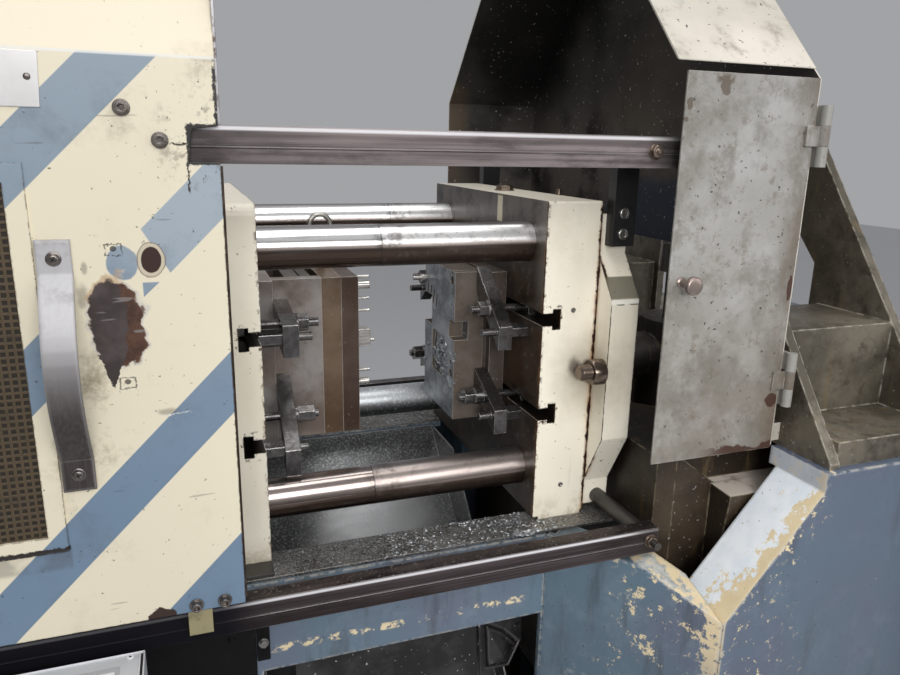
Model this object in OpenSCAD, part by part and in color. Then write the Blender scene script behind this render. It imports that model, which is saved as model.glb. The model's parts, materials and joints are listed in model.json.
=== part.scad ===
// Hot-chamber die casting machine: clamp unit on the left, furnace and hood on the right.
// +X runs along the machine from the clamp to the furnace, -Y is the operator's side, +Z is up.
// The origin is on the floor under the middle of the machine.

/* [Clamp unit] */
// Height of the machine axis over the floor
axis_h = 1150; // [1120:1:1200]
// Diameter of the tie bars
bar_d = 65; // [55:1:72]
// Distance between tie bar axes, both ways
bar_pitch = 400; // [385:1:420]
// Width and height of the platens
platen_w = 540; // [520:1:560]
// Thickness of the fixed platen
fixed_t = 97; // [80:1:100]
// Thickness of the moving platen
moving_t = 95; // [80:1:110]
// Thickness of the end platen that carries the closing cylinder
end_t = 120; // [90:1:150]
// Distance between the platens with the dies open
daylight = 442; // [440:1:460]
// Distance from the moving platen back to the end platen
end_gap = 617; // [560:1:660]
// Outside diameter of the closing cylinder
closing_d = 300; // [260:1:340]
// Length of the closing cylinder
closing_len = 520; // [460:1:560]
// Diameter of the closing piston rod
rod_d = 130; // [100:1:160]

/* [T-slots] */
// Height between the two T-slots of a platen
slot_pitch = 162; // [150:1:180]
// Width of the slot's neck
slot_neck = 21; // [16:1:24]
// Depth of the neck
slot_neck_deep = 18; // [14:1:22]
// Width of the slot's head
slot_head = 34; // [28:1:38]
// Depth of the head
slot_head_deep = 14; // [12:1:16]

/* [Dies] */
// Width of the die plates across the machine
die_w = 222; // [210:1:230]
// Height of both dies
die_h = 273; // [264:1:280]
// Width of the edge on the base plates that the clamps hold
die_lip = 12; // [9:1:14]
// Thickness of the ejector die's base plate
ejector_base_t = 34; // [30:1:37]
// Length of the ejector die's side rails
ejector_block_t = 80; // [78:1:84]
// Thickness of the ejector die's cavity plate
ejector_plate_t = 33; // [30:1:36]
// Thickness of the ejector die's parting plate
ejector_face_t = 29; // [25:1:31]
// Thickness of the cover die's base plate
cover_base_t = 29; // [26:1:32]
// Thickness of the cover die's middle plate
cover_mid_t = 9; // [8:1:12]
// Thickness of the cover die's parting plate
cover_face_t = 55; // [50:1:58]
// How far the pins stand out of the ejector die
pin_out = 22; // [18:1:24]
// Thickness of the clamp straps
strap_t = 24; // [18:1:26]

/* [Safety guard] */
// Width of the sliding guard door
guard_w = 640; // [600:1:680]
// Thickness of the guard's sheet
guard_t = 2.5; // [2:0.1:4]
// Height of the guard's upright sheet
guard_h = 658; // [640:1:680]
// Length of the upper sheet that folds back from the top
guard_fold = 190; // [140:1:220]
// Height of the guide rails' section
rail_h = 42; // [38:1:46]
// Depth of the guide rails' section
rail_deep = 26; // [22:1:30]
// Wall of the guide rails' section
rail_wall = 5; // [4:0.5:6]

/* [Base] */
// Half width of the clamp base
clamp_half = 313; // [300:1:325]
// Half width of the furnace base
furnace_half = 555; // [540:1:570]
// Length of the machine over its base
base_len = 3400; // [3300:10:3600]
// Thickness of the base's walls
base_wall = 12; // [10:1:16]
// Height of the levelling feet
foot_h = 30; // [20:1:40]

/* [Furnace and hood] */
// Length of the hood along the machine
hood_len = 231; // [215:1:240]
// Half width of the hood
hood_half = 455; // [445:1:470]
// Height of the hood's eaves over the floor
eave_h = 1601; // [1580:1:1620]
// Height of the hood's flat top over the floor
hood_top = 1900; // [1860:1:1940]
// Slope of the hood's roof sheets, in degrees
roof_slope = 47; // [42:1:52]
// Thickness of the hood's sheets
hood_t = 3; // [2:0.5:4]
// Diameter of the hood's extraction collar
duct_d = 200; // [150:5:250]
// Diameter of the injection cylinder
shot_d = 150; // [120:1:170]
// Length of the injection cylinder
shot_len = 300; // [250:1:320]

/* [Hidden] */

eps = 0.5;
seat = 0.3;
base_end = base_len / 2;

// Heights that follow the machine axis and the platens
slide_h = axis_h - platen_w / 2 - 10;
furnace_h = axis_h - 108;
notch_z = slide_h - 49;
rail_low_z = slide_h + 31;

// Places along the machine
fixed_x = 434;
moving_x = fixed_x - daylight;
end_x = moving_x - moving_t - end_gap;
platen_back = fixed_x + fixed_t;
splay_x0 = 440;
splay_x1 = 612;
top_x0 = 770;
hood_x0 = platen_back - 6;
hood_x1 = hood_x0 + hood_len;

// Dies
die_z0 = axis_h - die_h / 2;
die_z1 = axis_h + die_h / 2;
ejector_x1 = moving_x + ejector_base_t;
ejector_x2 = ejector_x1 + ejector_block_t;
ejector_x3 = ejector_x2 + ejector_plate_t;
ejector_x4 = ejector_x3 + ejector_face_t;
cover_x3 = fixed_x - cover_base_t;
cover_x2 = cover_x3 - cover_mid_t;
cover_x1 = cover_x2 - cover_face_t;
die_side = die_w / 2;
leader_y = 16 - die_side;

// Guard
rail_front = -430;
rail_x1 = 575;
rail_x0 = -1480;
rail_top_z = rail_low_z + 596;
guard_x1 = -58;
guard_x0 = guard_x1 - guard_w;
guard_gap = 5.5;
guard_back = rail_front - guard_gap;
guard_front = guard_back - guard_t;
guard_z0 = rail_low_z + rail_h / 2 + 5.5;
guard_z1 = guard_z0 + guard_h;
window_x = [guard_x1 - 428, guard_x1 - 212];
window_z = [guard_z0 + 130, guard_z0 + 528];
frame_rim = 20;

// Furnace side
frame_x0 = 783;
frame_x1 = 1015;
frame_plate = 18;
frame_low = 545;
frame_rise = 1.42;
frame_top = furnace_h + 558;
shot_x = (frame_x0 + frame_x1) / 2;
casing_half = 400;
casing_x0 = 596;
casing_x1 = 1150;

module block(x0, x1, y0, y1, z0, z1) {
    translate([x0, y0, z0]) cube([x1 - x0, y1 - y0, z1 - z0]);
}

// A cylinder along X from x0 to x1
module bar_x(d, x0, x1, y, z) {
    translate([x0, y, z]) rotate([0, 90, 0]) cylinder(d = d, h = x1 - x0, $fn = 48);
}

// A cylinder along Y from y0 to y1
module bar_y(d, y0, y1, x, z) {
    translate([x, y0, z]) rotate([-90, 0, 0]) cylinder(d = d, h = y1 - y0, $fn = 48);
}

// A hexagonal nut or head along X
module hex_x(across, x0, x1, y, z) {
    translate([x0, y, z]) rotate([0, 90, 0]) cylinder(d = across / cos(30), h = x1 - x0, $fn = 6);
}

// A profile drawn in X and Z, thick along Y from y0 to y1
module side_profile(points, y0, y1) {
    translate([0, y1, 0]) rotate([90, 0, 0]) linear_extrude(y1 - y0) polygon(points);
}

// A profile drawn in Y and Z, thick along X from x0 to x1
module end_profile(points, x0, x1) {
    translate([x0, 0, 0]) rotate([90, 0, 90]) linear_extrude(x1 - x0) polygon(points);
}

module both_sides() {
    children();
    mirror([0, 1, 0]) children();
}

module at_bars() {
    for (y = [-1, 1], z = [-1, 1]) translate([0, y * bar_pitch / 2, axis_h + z * bar_pitch / 2]) children();
}

// Base
beam_h = 150;
way_w = 77;
window_x0 = -31;
window_x1 = splay_x0 - 2;
sill_h = 260;
bulkhead_x = window_x0 - 160;
module clamp_base() {
    color("steelblue") {
        both_sides() {
            difference() {
                block(-base_end, splay_x0, -clamp_half, -clamp_half + base_wall, foot_h, slide_h);
                block(window_x0, window_x1, -clamp_half - eps, -clamp_half + base_wall + eps,
                      sill_h, slide_h - beam_h);
            }
            block(-base_end, splay_x0, -clamp_half + base_wall, -clamp_half + way_w,
                  slide_h - base_wall, slide_h);
            block(-base_end + base_wall, splay_x0, -clamp_half + base_wall, -clamp_half + way_w,
                  foot_h, foot_h + base_wall);
        }
        block(-base_end, -base_end + base_wall, -clamp_half + base_wall, clamp_half - base_wall,
              foot_h, slide_h);
        block(bulkhead_x, bulkhead_x + base_wall, -clamp_half + base_wall, clamp_half - base_wall,
              foot_h + base_wall, slide_h - base_wall);
        block(-base_end + base_wall, bulkhead_x + base_wall, -clamp_half + way_w, clamp_half - way_w,
              slide_h - base_wall, slide_h);
    }
}

// The angled walls that widen the base towards the furnace
splay_run = splay_x1 - splay_x0;
splay_rise = furnace_half - clamp_half;
splay_len = norm([splay_run, splay_rise]);
splay_top = 0.56 * splay_len;
module splay_walls() {
    color("steelblue") both_sides() difference() {
        translate([splay_x0, -clamp_half, 0]) rotate([0, 0, -atan2(splay_rise, splay_run)]) {
            side_profile([[0, foot_h], [splay_len, foot_h], [splay_len, notch_z], [splay_top, slide_h],
                          [0, slide_h]], 0, base_wall);
            side_profile([[splay_len - 8, notch_z - base_wall + 3], [splay_len - 8, notch_z + 3],
                          [splay_top, slide_h], [10, slide_h], [10, slide_h - base_wall],
                          [splay_top - 4, slide_h - base_wall]], base_wall, 55);
        }
        block(splay_x1, splay_x1 + 60, -furnace_half - 10, 0, foot_h - 1, slide_h + 1);
    }
}

flange_w = 100;
plate_t = 30;
notch_run = top_x0 - splay_x1;
module furnace_base() {
    color("steelblue") {
        both_sides() {
            side_profile([[splay_x1, foot_h], [base_end, foot_h], [base_end, furnace_h],
                          [top_x0, furnace_h], [top_x0, furnace_h - plate_t], [splay_x1, notch_z]],
                         -furnace_half, -furnace_half + base_wall);
            side_profile([[splay_x1, notch_z], [top_x0, furnace_h - plate_t],
                          [top_x0 + 14, furnace_h - plate_t], [splay_x1 + 8, notch_z - 12]],
                         -furnace_half + base_wall, -furnace_half + flange_w);
            block(top_x0, base_end, -furnace_half + base_wall, -furnace_half + flange_w + 15,
                  furnace_h - plate_t, furnace_h);
        }
        block(base_end - base_wall, base_end, -furnace_half + base_wall, furnace_half - base_wall,
              foot_h, furnace_h - plate_t);
        block(casing_x1 + 60, base_end, -furnace_half + flange_w + 15, furnace_half - flange_w - 15,
              furnace_h - plate_t, furnace_h);
        block(splay_x1 + 10, base_end - base_wall, -furnace_half + base_wall, furnace_half - base_wall,
              foot_h, foot_h + base_wall);
    }
}

module levelling_feet() {
    color("dimgray") {
        for (x = [-base_end + 120, -700, 300], y = [-1, 1])
            translate([x, y * (clamp_half - 45), 0]) cylinder(d = 80, h = foot_h, $fn = 48);
        for (x = [700, base_end - 120], y = [-1, 1])
            translate([x, y * (furnace_half - 60), 0]) cylinder(d = 100, h = foot_h, $fn = 48);
    }
}

// Wear strips that the moving platen slides on
strip_t = 4.5;
module slideways() {
    color("gray") both_sides()
        block(end_x + 40, fixed_x + 160, -clamp_half + 6, -clamp_half + way_w, slide_h, slide_h + strip_t);
}

// Sloping chute that lets the castings fall to the operator's side
chute_t = 3;
chute_x0 = window_x0 + 12;
chute_x1 = fixed_x - 14;
chute_y = clamp_half - way_w;
chute_front = clamp_half - 23;
chute_top = slide_h - 6;
chute_low = sill_h + 140;
module drop_chute() {
    color("darkslategray") {
        end_profile([[chute_y, chute_top], [chute_y, chute_top - chute_t], [-chute_front, chute_low - chute_t],
                     [-chute_front, chute_low]], chute_x0, chute_x1);
        for (x = [chute_x0, chute_x1 - chute_t])
            end_profile([[chute_y, chute_top], [chute_y, chute_top - chute_t],
                         [-chute_front, chute_low - chute_t], [-chute_front, chute_low + 50],
                         [-60, slide_h - 150], [90, chute_top]], x, x + chute_t);
    }
}

// A platen without its holes and slots, with upper corners of radius r
module platen_block(x0, x1, r) {
    h = platen_w / 2;
    arc = [for (a = [0 : 22.5 : 90]) [h - r + r * sin(a), axis_h + h - r + r * cos(a)]];
    last = len(arc) - 1;
    end_profile(concat([for (p = arc) [-p[0], p[1]]], [[-h, axis_h - h], [h, axis_h - h]],
                       [for (k = [0 : last]) arc[last - k]]), x0, x1);
}

// T-slots cut in a die face at x, into the side that dir gives
module t_slots(x, dir) {
    for (z = [-1, 1]) {
        zc = axis_h + z * slot_pitch / 2;
        n = [x - dir * eps, x + dir * slot_neck_deep];
        m = [x + dir * (slot_neck_deep - eps), x + dir * (slot_neck_deep + slot_head_deep)];
        block(min(n), max(n), -platen_w, platen_w, zc - slot_neck / 2, zc + slot_neck / 2);
        block(min(m), max(m), -platen_w, platen_w, zc - slot_head / 2, zc + slot_head / 2);
    }
}

bar_fit = 0.05;
sprue_d = 90;
foot_step = axis_h - platen_w / 2;
module fixed_platen() {
    color("cornsilk") difference() {
        union() {
            platen_block(fixed_x, platen_back, 4);
            both_sides() block(fixed_x + 10, platen_back - 5, -platen_w / 2, -clamp_half + way_w + 20,
                               slide_h + strip_t, foot_step + eps);
        }
        t_slots(fixed_x, 1);
        at_bars() bar_x(bar_d, fixed_x - eps, platen_back + eps, 0, 0);
        bar_x(sprue_d, fixed_x - eps, platen_back + eps, 0, axis_h);
    }
}

// Welded ribs behind the fixed platen
rib_w = 51;
rib_in = -254;
rib_face = -264;
rib_out = -315;
post_z0 = axis_h + 199;
module platen_ribs() {
    color("cornsilk") both_sides()
        end_profile([[rib_in, post_z0 + 50], [rib_face, post_z0 + 50], [rib_face, axis_h + 186],
                     [rib_out, axis_h + 117], [rib_out, axis_h - 121], [rib_face, axis_h - 216],
                     [rib_face, axis_h - 262], [rib_in, axis_h - 262]], platen_back, platen_back + rib_w);
}

// Posts and rods that carry the free ends of the guide rails
post_w = 40;
post_t = 22;
post_x = platen_back + 11;
rail_inner = rail_front + rail_wall;
rail_room = rail_h / 2 - rail_wall - 1;
module rail_posts() {
    color("black") both_sides() {
        block(post_x, post_x + post_w, rib_face - post_t, rib_face, post_z0, rail_top_z + rail_room);
        block(post_x, post_x + post_w, rail_inner, rib_face - post_t, rail_top_z - rail_room,
              rail_top_z + rail_room);
    }
}

rod_d2 = 27;
rod_x = platen_back + 30;
module rail_rods() {
    color("dimgray") both_sides() {
        bar_y(rod_d2, rail_inner, rib_face, rod_x, rail_low_z + 1);
        bar_y(12, rail_front - 22, rail_front, rod_x, rail_low_z + 1);
        bar_y(22, rail_front - 7, rail_front, rod_x, rail_top_z);
    }
}

module tie_bar(y, z) {
    color("silver")
        bar_x(bar_d, end_x - end_t - 70, platen_back + 60, y * bar_pitch / 2, axis_h + z * bar_pitch / 2);
}
module bar_upper_front() { tie_bar(-1, 1); }
module bar_upper_rear() { tie_bar(1, 1); }
module bar_lower_front() { tie_bar(-1, -1); }
module bar_lower_rear() { tie_bar(1, -1); }

nut_d = 100;
nut_t = 60;
module bar_nuts() {
    color("dimgray") at_bars() {
        difference() {
            bar_x(nut_d, end_x - end_t - nut_t, end_x - end_t, 0, 0);
            bar_x(bar_d, end_x - end_t - nut_t - eps, end_x - end_t + eps, 0, 0);
        }
        difference() {
            hex_x(nut_d - 14, platen_back, platen_back + nut_t - 10, 0, 0);
            bar_x(bar_d, platen_back - eps, platen_back + nut_t, 0, 0);
        }
    }
}

// End platen and closing drive
module end_platen() {
    color("cornsilk") difference() {
        union() {
            platen_block(end_x - end_t, end_x, 20);
            both_sides() block(end_x - end_t + 10, end_x - 10, -platen_w / 2, -platen_w / 2 + 60,
                               slide_h, foot_step + eps);
        }
        at_bars() bar_x(bar_d, end_x - end_t - eps, end_x + eps, 0, 0);
        bar_x(rod_d + 2 * bar_fit, end_x - end_t - eps, end_x + eps, 0, axis_h);
    }
}

closing_bore = rod_d + 60;
module closing_cylinder() {
    color("dimgray") difference() {
        union() {
            bar_x(closing_d, end_x - end_t - closing_len, end_x - end_t, 0, axis_h);
            bar_x(closing_d + 50, end_x - end_t - 40, end_x - end_t, 0, axis_h);
            bar_x(closing_d + 30, end_x - end_t - closing_len, end_x - end_t - closing_len + 50, 0, axis_h);
        }
        bar_x(closing_bore, end_x - end_t - closing_len + 60, end_x - end_t + eps, 0, axis_h);
    }
}

module closing_rod() {
    color("silver") {
        bar_x(rod_d, end_x - end_t - 260, moving_x - moving_t, 0, axis_h);
        bar_x(closing_bore - 2 * bar_fit, end_x - end_t - 300, end_x - end_t - 260, 0, axis_h);
    }
}

// Sheet housing round the closing drive, and its fixed side covers
housing_half = 395;
housing_top = rail_top_z + 63;
housing_t = 4;
housing_x1 = guard_x0 - 20;
skirt_z = rail_low_z + 40;
module clamp_housing() {
    color("cornsilk") difference() {
        block(-base_end + 20, housing_x1, -housing_half, housing_half, slide_h, housing_top);
        block(-base_end + 20 + housing_t, housing_x1 + eps, -housing_half + housing_t,
              housing_half - housing_t, slide_h - eps, housing_top - housing_t);
        both_sides() block(-base_end, housing_x1 + 1, -housing_half - 1, -clamp_half, slide_h - 1,
                           skirt_z);
    }
    color("cornsilk") both_sides() {
        block(-base_end + 20, housing_x1, -housing_half, -clamp_half + housing_t,
              skirt_z, skirt_z + housing_t);
        block(-base_end + 20, housing_x1, -clamp_half, -clamp_half + housing_t, slide_h, skirt_z);
        for (x = [rail_x0 + 30, housing_x1 - 60], z = [rail_low_z, rail_top_z])
            if (z > skirt_z) block(x, x + 40, rail_inner, -housing_half, z - rail_room, z + rail_room);
        for (x = [rail_x0 + 30, housing_x1 - 60])
            block(x, x + 40, rail_inner, -clamp_half, rail_low_z - rail_room, rail_low_z + rail_room);
    }
}

cover_x_end = moving_x - moving_t - 20;
module side_cover() {
    block(housing_x1, cover_x_end, -housing_half, -housing_half + housing_t, skirt_z, rail_top_z - 40);
    block(housing_x1, cover_x_end, -housing_half + housing_t, -clamp_half + housing_t, skirt_z,
          skirt_z + housing_t);
    block(housing_x1, cover_x_end, -clamp_half, -clamp_half + housing_t, slide_h, skirt_z);
}
module cover_front() { color("cornsilk") side_cover(); }
module cover_rear() { color("cornsilk") mirror([0, 1, 0]) side_cover(); }

// Moving platen
slide_fit = 0.3;
module moving_platen() {
    color("cornsilk") difference() {
        platen_block(moving_x - moving_t, moving_x, 16);
        t_slots(moving_x, -1);
        at_bars() bar_x(bar_d + 2 * bar_fit, moving_x - moving_t - eps, moving_x + eps, 0, 0);
    }
}

module platen_shoes() {
    color("dimgray") both_sides()
        block(moving_x - moving_t, moving_x, -clamp_half + 8, -clamp_half + way_w - 2,
              slide_h + strip_t + slide_fit, foot_step);
}

// Die plates; the base plates are wider, so that the clamps hold them
module die_plate(x0, x1, lip = 0) {
    block(x0, x1, -die_side - lip, die_side + lip, die_z0, die_z1);
}
module ejector_base() { color("gray") die_plate(moving_x, ejector_x1, die_lip); }

// Side rails leave room for the two ejector plates and their guide pins
side_rail = 23;
module ejector_rails() {
    color("gray") both_sides()
        block(ejector_x1, ejector_x2, -die_side, -die_side + side_rail, die_z0, die_z1);
}
pack_gap = 25;
pack_back = 24;
pack_front = 18;
module ejector_pack() {
    half = die_side - side_rail - 1;
    x0 = ejector_x1 + pack_gap;
    x1 = x0 + pack_back + 5;
    color("dimgray") {
        block(x0, x0 + pack_back, -half, half, die_z0 + 3, die_z1 - 3);
        block(x1, x1 + pack_front, -half, half, die_z0 + 6, die_z1 - 6);
        for (y = [-1, 1], z = [-1, 1])
            bar_x(16, ejector_x1, ejector_x2, y * (half - 18), axis_h + z * (die_h / 2 - 40));
    }
}
module ejector_plate() { color("gray") die_plate(ejector_x2, ejector_x3); }

// Pins of the ejector die: diameter, height over the axis and length short of the longest
pins = [[6, 133, 0], [14, 119, 0], [5, 96, 0], [5, 75, 0], [5, 22, -8], [6, -31, 0], [12, -52, 2]];
core_z = [15, 45];
pin_fit = 1;
cover_pin_y = 49;
cover_pin_z = axis_h + 100;
cover_pin_d = 14;
module ejector_face() {
    color("gray") difference() {
        die_plate(ejector_x3, ejector_x4);
        bar_x(cover_pin_d + 2 * pin_fit, ejector_x3 + 1, ejector_x4 + 1, cover_pin_y, cover_pin_z);
    }
}
module ejector_pins() {
    color("silver") {
        for (p = pins) bar_x(p[0], ejector_x4, ejector_x4 + pin_out - p[2], leader_y, axis_h + p[1]);
        block(ejector_x4, ejector_x4 + pin_out - 2, -die_side, leader_y + 10, axis_h + core_z[0],
              axis_h + core_z[1]);
    }
}

// The cover die's face takes the pins and the core, and has the casting's shape cut into it
face_y1 = 57;
slot_d = 7;
module cavity(y, z, rise) {
    hull() for (k = [0, 1])
        bar_x(slot_d, cover_x1 - 1, cover_x1 + 9, y + 4 * k, axis_h + z + rise * k);
}
module cover_face() {
    deep = cover_x1 + pin_out + 4;
    color("lightslategray") difference() {
        block(cover_x1, cover_x2, -die_side, face_y1, die_z0, die_z1);
        for (p = pins) bar_x(p[0] + 2 * pin_fit, cover_x1 - 1, deep + 4, leader_y, axis_h + p[1]);
        block(cover_x1 - 1, deep, -die_side - 1, leader_y + 12,
              axis_h + core_z[0] - 2, axis_h + core_z[1] + 2);
        block(cover_x1 - 1, deep + 6, face_y1 - 42, face_y1 + 1, axis_h + 15, axis_h + 72);
        for (k = [0:3]) cavity(38 - 17 * k, 92 - 5 * k, -22);
        block(cover_x1 - 1, cover_x1 + 6, -60, 10, axis_h - 70, axis_h + 8);
    }
}
module cover_pin() {
    color("silver") {
        bar_x(8, cover_x1 - 28, cover_x1, cover_pin_y, cover_pin_z);
        bar_x(cover_pin_d, cover_x1 - 12, cover_x1, cover_pin_y, cover_pin_z);
    }
}
module cover_mid() {
    color("gray") block(cover_x2, cover_x3, -die_side + 6, die_side - 6, die_z0 + 4, die_z1 - 4);
}
module cover_base() { color("gray") die_plate(cover_x3, fixed_x, die_lip); }

// A clamp on the operator's side of the die face at x, which looks towards +X or -X with dir.
// The bolt stands in the upper or lower T-slot with up; from_die and reach are counted from the die.
// stack holds the washers' thickness, the nut's length and the bolt's end
bolt_d = 14;
module clamp(x, dir, up, from_die, tilt, reach, h, seat_t, stack, drop = 0, jack_in = 15, jack_out = 22) {
    z = axis_h + up * slot_pitch / 2;
    y = -die_side - from_die;
    y_end = -die_side - reach;
    y_jack = y_end + jack_in;
    function mid(v) = z - drop + (v - y) * tan(tilt);
    function from(a, b) = dir > 0 ? [x + a, x + b] : [x - b, x - a];
    strap = from(seat_t, seat_t + strap_t);
    washer = from(seat_t + strap_t, seat_t + strap_t + stack[0]);
    nut = from(seat_t + strap_t + stack[0], seat_t + strap_t + stack[0] + stack[1]);
    bolt = from(-slot_neck_deep, stack[2]);
    head = from(1 - slot_neck_deep - slot_head_deep, -slot_neck_deep);
    foot = from(0, seat_t);
    jack = from(seat_t, seat_t + strap_t + jack_out);
    end_profile([[-die_side, mid(-die_side) + h / 2], [y_end, mid(y_end) + h / 2],
                 [y_end, mid(y_end) - h / 2], [-die_side, mid(-die_side) - h / 2]], strap[0], strap[1]);
    bar_x(30, washer[0], washer[1], y, z);
    hex_x(24, nut[0], nut[1], y, z);
    bar_x(bolt_d, bolt[0], bolt[1], y, z);
    block(head[0], head[1], y - 14, y + 14, z - 13, z + 13);
    hex_x(24, foot[0], foot[1], y_jack, mid(y_jack));
    bar_x(13, jack[0], jack[1], y_jack, mid(y_jack));
}
module ejector_clamps() {
    color("dimgray") both_sides() {
        clamp(moving_x, 1, 1, 72, 7, 124, 50, ejector_base_t, [5, 16, 95], 10, 20);
        clamp(moving_x, 1, -1, 40, 43.6, 102, 44, ejector_base_t, [5, 27, 97], 0, 20, 14);
    }
}
module cover_clamps() {
    color("dimgray") both_sides() {
        clamp(fixed_x, -1, 1, 55, 39, 106, 40, cover_base_t, [2, 16, 84], 0, 12, 26);
        clamp(fixed_x, -1, -1, 39, 25.6, 101, 42, cover_base_t, [15, 20, 96], 0, 17, 23);
    }
}

module lifting_eye() {
    ring_r = 18;
    ring_t = 9;
    stem = 56;
    color("silver") translate([(ejector_x2 + ejector_x3) / 2, -15, die_z1]) {
        cylinder(d = 12, h = stem, $fn = 48);
        translate([0, 0, stem - 8]) cylinder(d = 22, h = 8, $fn = 48);
        translate([0, 0, stem + ring_r + ring_t / 2 - 2]) rotate([90, 0, 0])
            rotate_extrude($fn = 48) translate([ring_r, 0]) circle(d = ring_t, $fn = 24);
    }
}

// Guide rails, an open channel with its back to the machine
module rail(z) {
    lip = rail_h / 2;
    x0 = rail_x0;
    difference() {
        block(x0, rail_x1, rail_front, rail_front + rail_deep, z - lip, z + lip);
        block(x0 - 1, rail_x1 + 1, rail_front + rail_wall, rail_front + rail_deep + 1,
              z - lip + rail_wall, z + lip - rail_wall);
        block(x0 - 1, rail_x1 + 1, rail_front - 1, rail_front + 1, z - 2.5, z - 0.5);
    }
}
module top_rail() { color("dimgray") rail(rail_top_z); }
module bottom_rail() { color("dimgray") rail(rail_low_z); }
module rear_rails() {
    color("dimgray") mirror([0, 1, 0]) {
        rail(rail_top_z);
        rail(rail_low_z);
    }
}

// The guard's sheet: upright, then folded back over the top rail
fold_slope = 12;
module guard_sheet() {
    dy = guard_fold * sin(fold_slope);
    dz = guard_fold * cos(fold_slope);
    end_profile([[guard_front, guard_z0], [guard_back, guard_z0], [guard_back, guard_z1],
                 [guard_back + dy, guard_z1 + dz], [guard_back + dy - guard_t, guard_z1 + dz],
                 [guard_front, guard_z1 + 1]], guard_x0, guard_x1);
}
torn = [27, 38];
module guard_door() {
    color("cornsilk") difference() {
        guard_sheet();
        block(window_x[0], window_x[1], guard_front - 1, guard_back + 1, window_z[0], window_z[1]);
        side_profile([[guard_x1 + 1, rail_top_z + torn[1] / 2],
                      [guard_x1 - torn[0], rail_top_z + torn[1] / 2 - 4],
                      [guard_x1 - torn[0] - 5, rail_top_z - torn[1] / 2],
                      [guard_x1 + 1, rail_top_z - torn[1] / 2]], guard_front - 1, guard_back + 1);
    }
}
module rear_guard() {
    color("cornsilk") mirror([0, 1, 0]) {
        guard_sheet();
        for (x = [guard_x1 - 70, guard_x0 + 42], z = [rail_low_z, rail_top_z])
            block(x, x + shoe_w, guard_back - eps, rail_front, z - 9, z + 60);
    }
}

module window_frame() {
    color("cornsilk") difference() {
        block(window_x[0] - frame_rim, window_x[1] + frame_rim, guard_front - 3, guard_front,
              window_z[0] - frame_rim, window_z[1] + frame_rim);
        block(window_x[0], window_x[1], guard_front - 4, guard_front + 1, window_z[0], window_z[1]);
    }
}
module window_mesh() {
    color("saddlebrown")
        block(window_x[0], window_x[1], guard_front + 0.5, guard_back, window_z[0], window_z[1]);
}

handle_w = 34;
handle_t = 5;
handle_foot = 37;
handle_bow = 36;
handle_z0 = guard_z0 + 185;
handle_z1 = guard_z0 + 470;
module guard_handle() {
    free = handle_z1 - handle_z0 - 2 * handle_foot;
    arc = [for (t = [0 : 1 / 14 : 1]) [handle_bow * sin(180 * t), handle_z0 + handle_foot + t * free]];
    last = len(arc) - 1;
    color("gray") translate([guard_x1 - 190, 0, 0])
        end_profile(concat([[guard_front, handle_z0], [guard_front - handle_t, handle_z0]],
                           [for (p = arc) [guard_front - handle_t - p[0], p[1]]],
                           [[guard_front - handle_t, handle_z1], [guard_front, handle_z1]],
                           [for (k = [0 : last]) [guard_front - arc[last - k][0], arc[last - k][1]]]),
                    0, handle_w);
}

shoe_w = 29;
module guard_shoes() {
    lip_z = rail_top_z + rail_h / 2 + seat;
    color("darkkhaki") for (x = [guard_x1 - 70, guard_x0 + 42]) {
        block(x, x + shoe_w, guard_back, rail_front - seat, rail_low_z - 9, guard_z0 + 34);
        block(x - 14, x + shoe_w + 14, guard_back, rail_front + rail_deep - 6, lip_z, lip_z + 24);
    }
}

// Furnace side: the casing hangs in the base and has a bead along its sides
casing_low = 330;
casing_top = furnace_h - 22;
casing_edge = furnace_h - 75;
casing_side = 20;
bead = 48;
well_d = 480;
leg = 60;
module casing_wall() {
    difference() {
        side_profile([[casing_x0, casing_low], [casing_x1, casing_low], [casing_x1, casing_edge],
                      [casing_x0 + 105, casing_edge], [casing_x0 + 34, casing_top], [casing_x0, casing_top]],
                     -casing_half, -casing_half + casing_side);
        translate([0, 0, casing_low - 1]) linear_extrude(casing_top - casing_low + 2)
            polygon([[casing_x0 - 1, -casing_half - 1], [casing_x0 + 27, -casing_half - 1],
                     [casing_x0 - 1, -casing_half + 17]]);
    }
    end_profile([[-casing_half, casing_edge + 1], [-casing_half - bead, casing_edge - 1],
                 [-casing_half - bead, casing_edge - 11], [-casing_half, casing_low + 230]],
                casing_x0 + 97, casing_x1 - 20);
}
module furnace_casing() {
    color("dimgray") {
        both_sides() casing_wall();
        difference() {
            block(casing_x0, casing_x1, -casing_half + casing_side, casing_half - casing_side,
                  casing_low, casing_top);
            translate([shot_x, 0, casing_low + 70]) cylinder(d = well_d, h = casing_top - casing_low, $fn = 64);
        }
        both_sides() for (x = [casing_x0 + 30, casing_x1 - leg - 20])
            block(x, x + leg, -casing_half + 100, -casing_half + 100 + leg, foot_h + base_wall, casing_low);
    }
}

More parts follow.
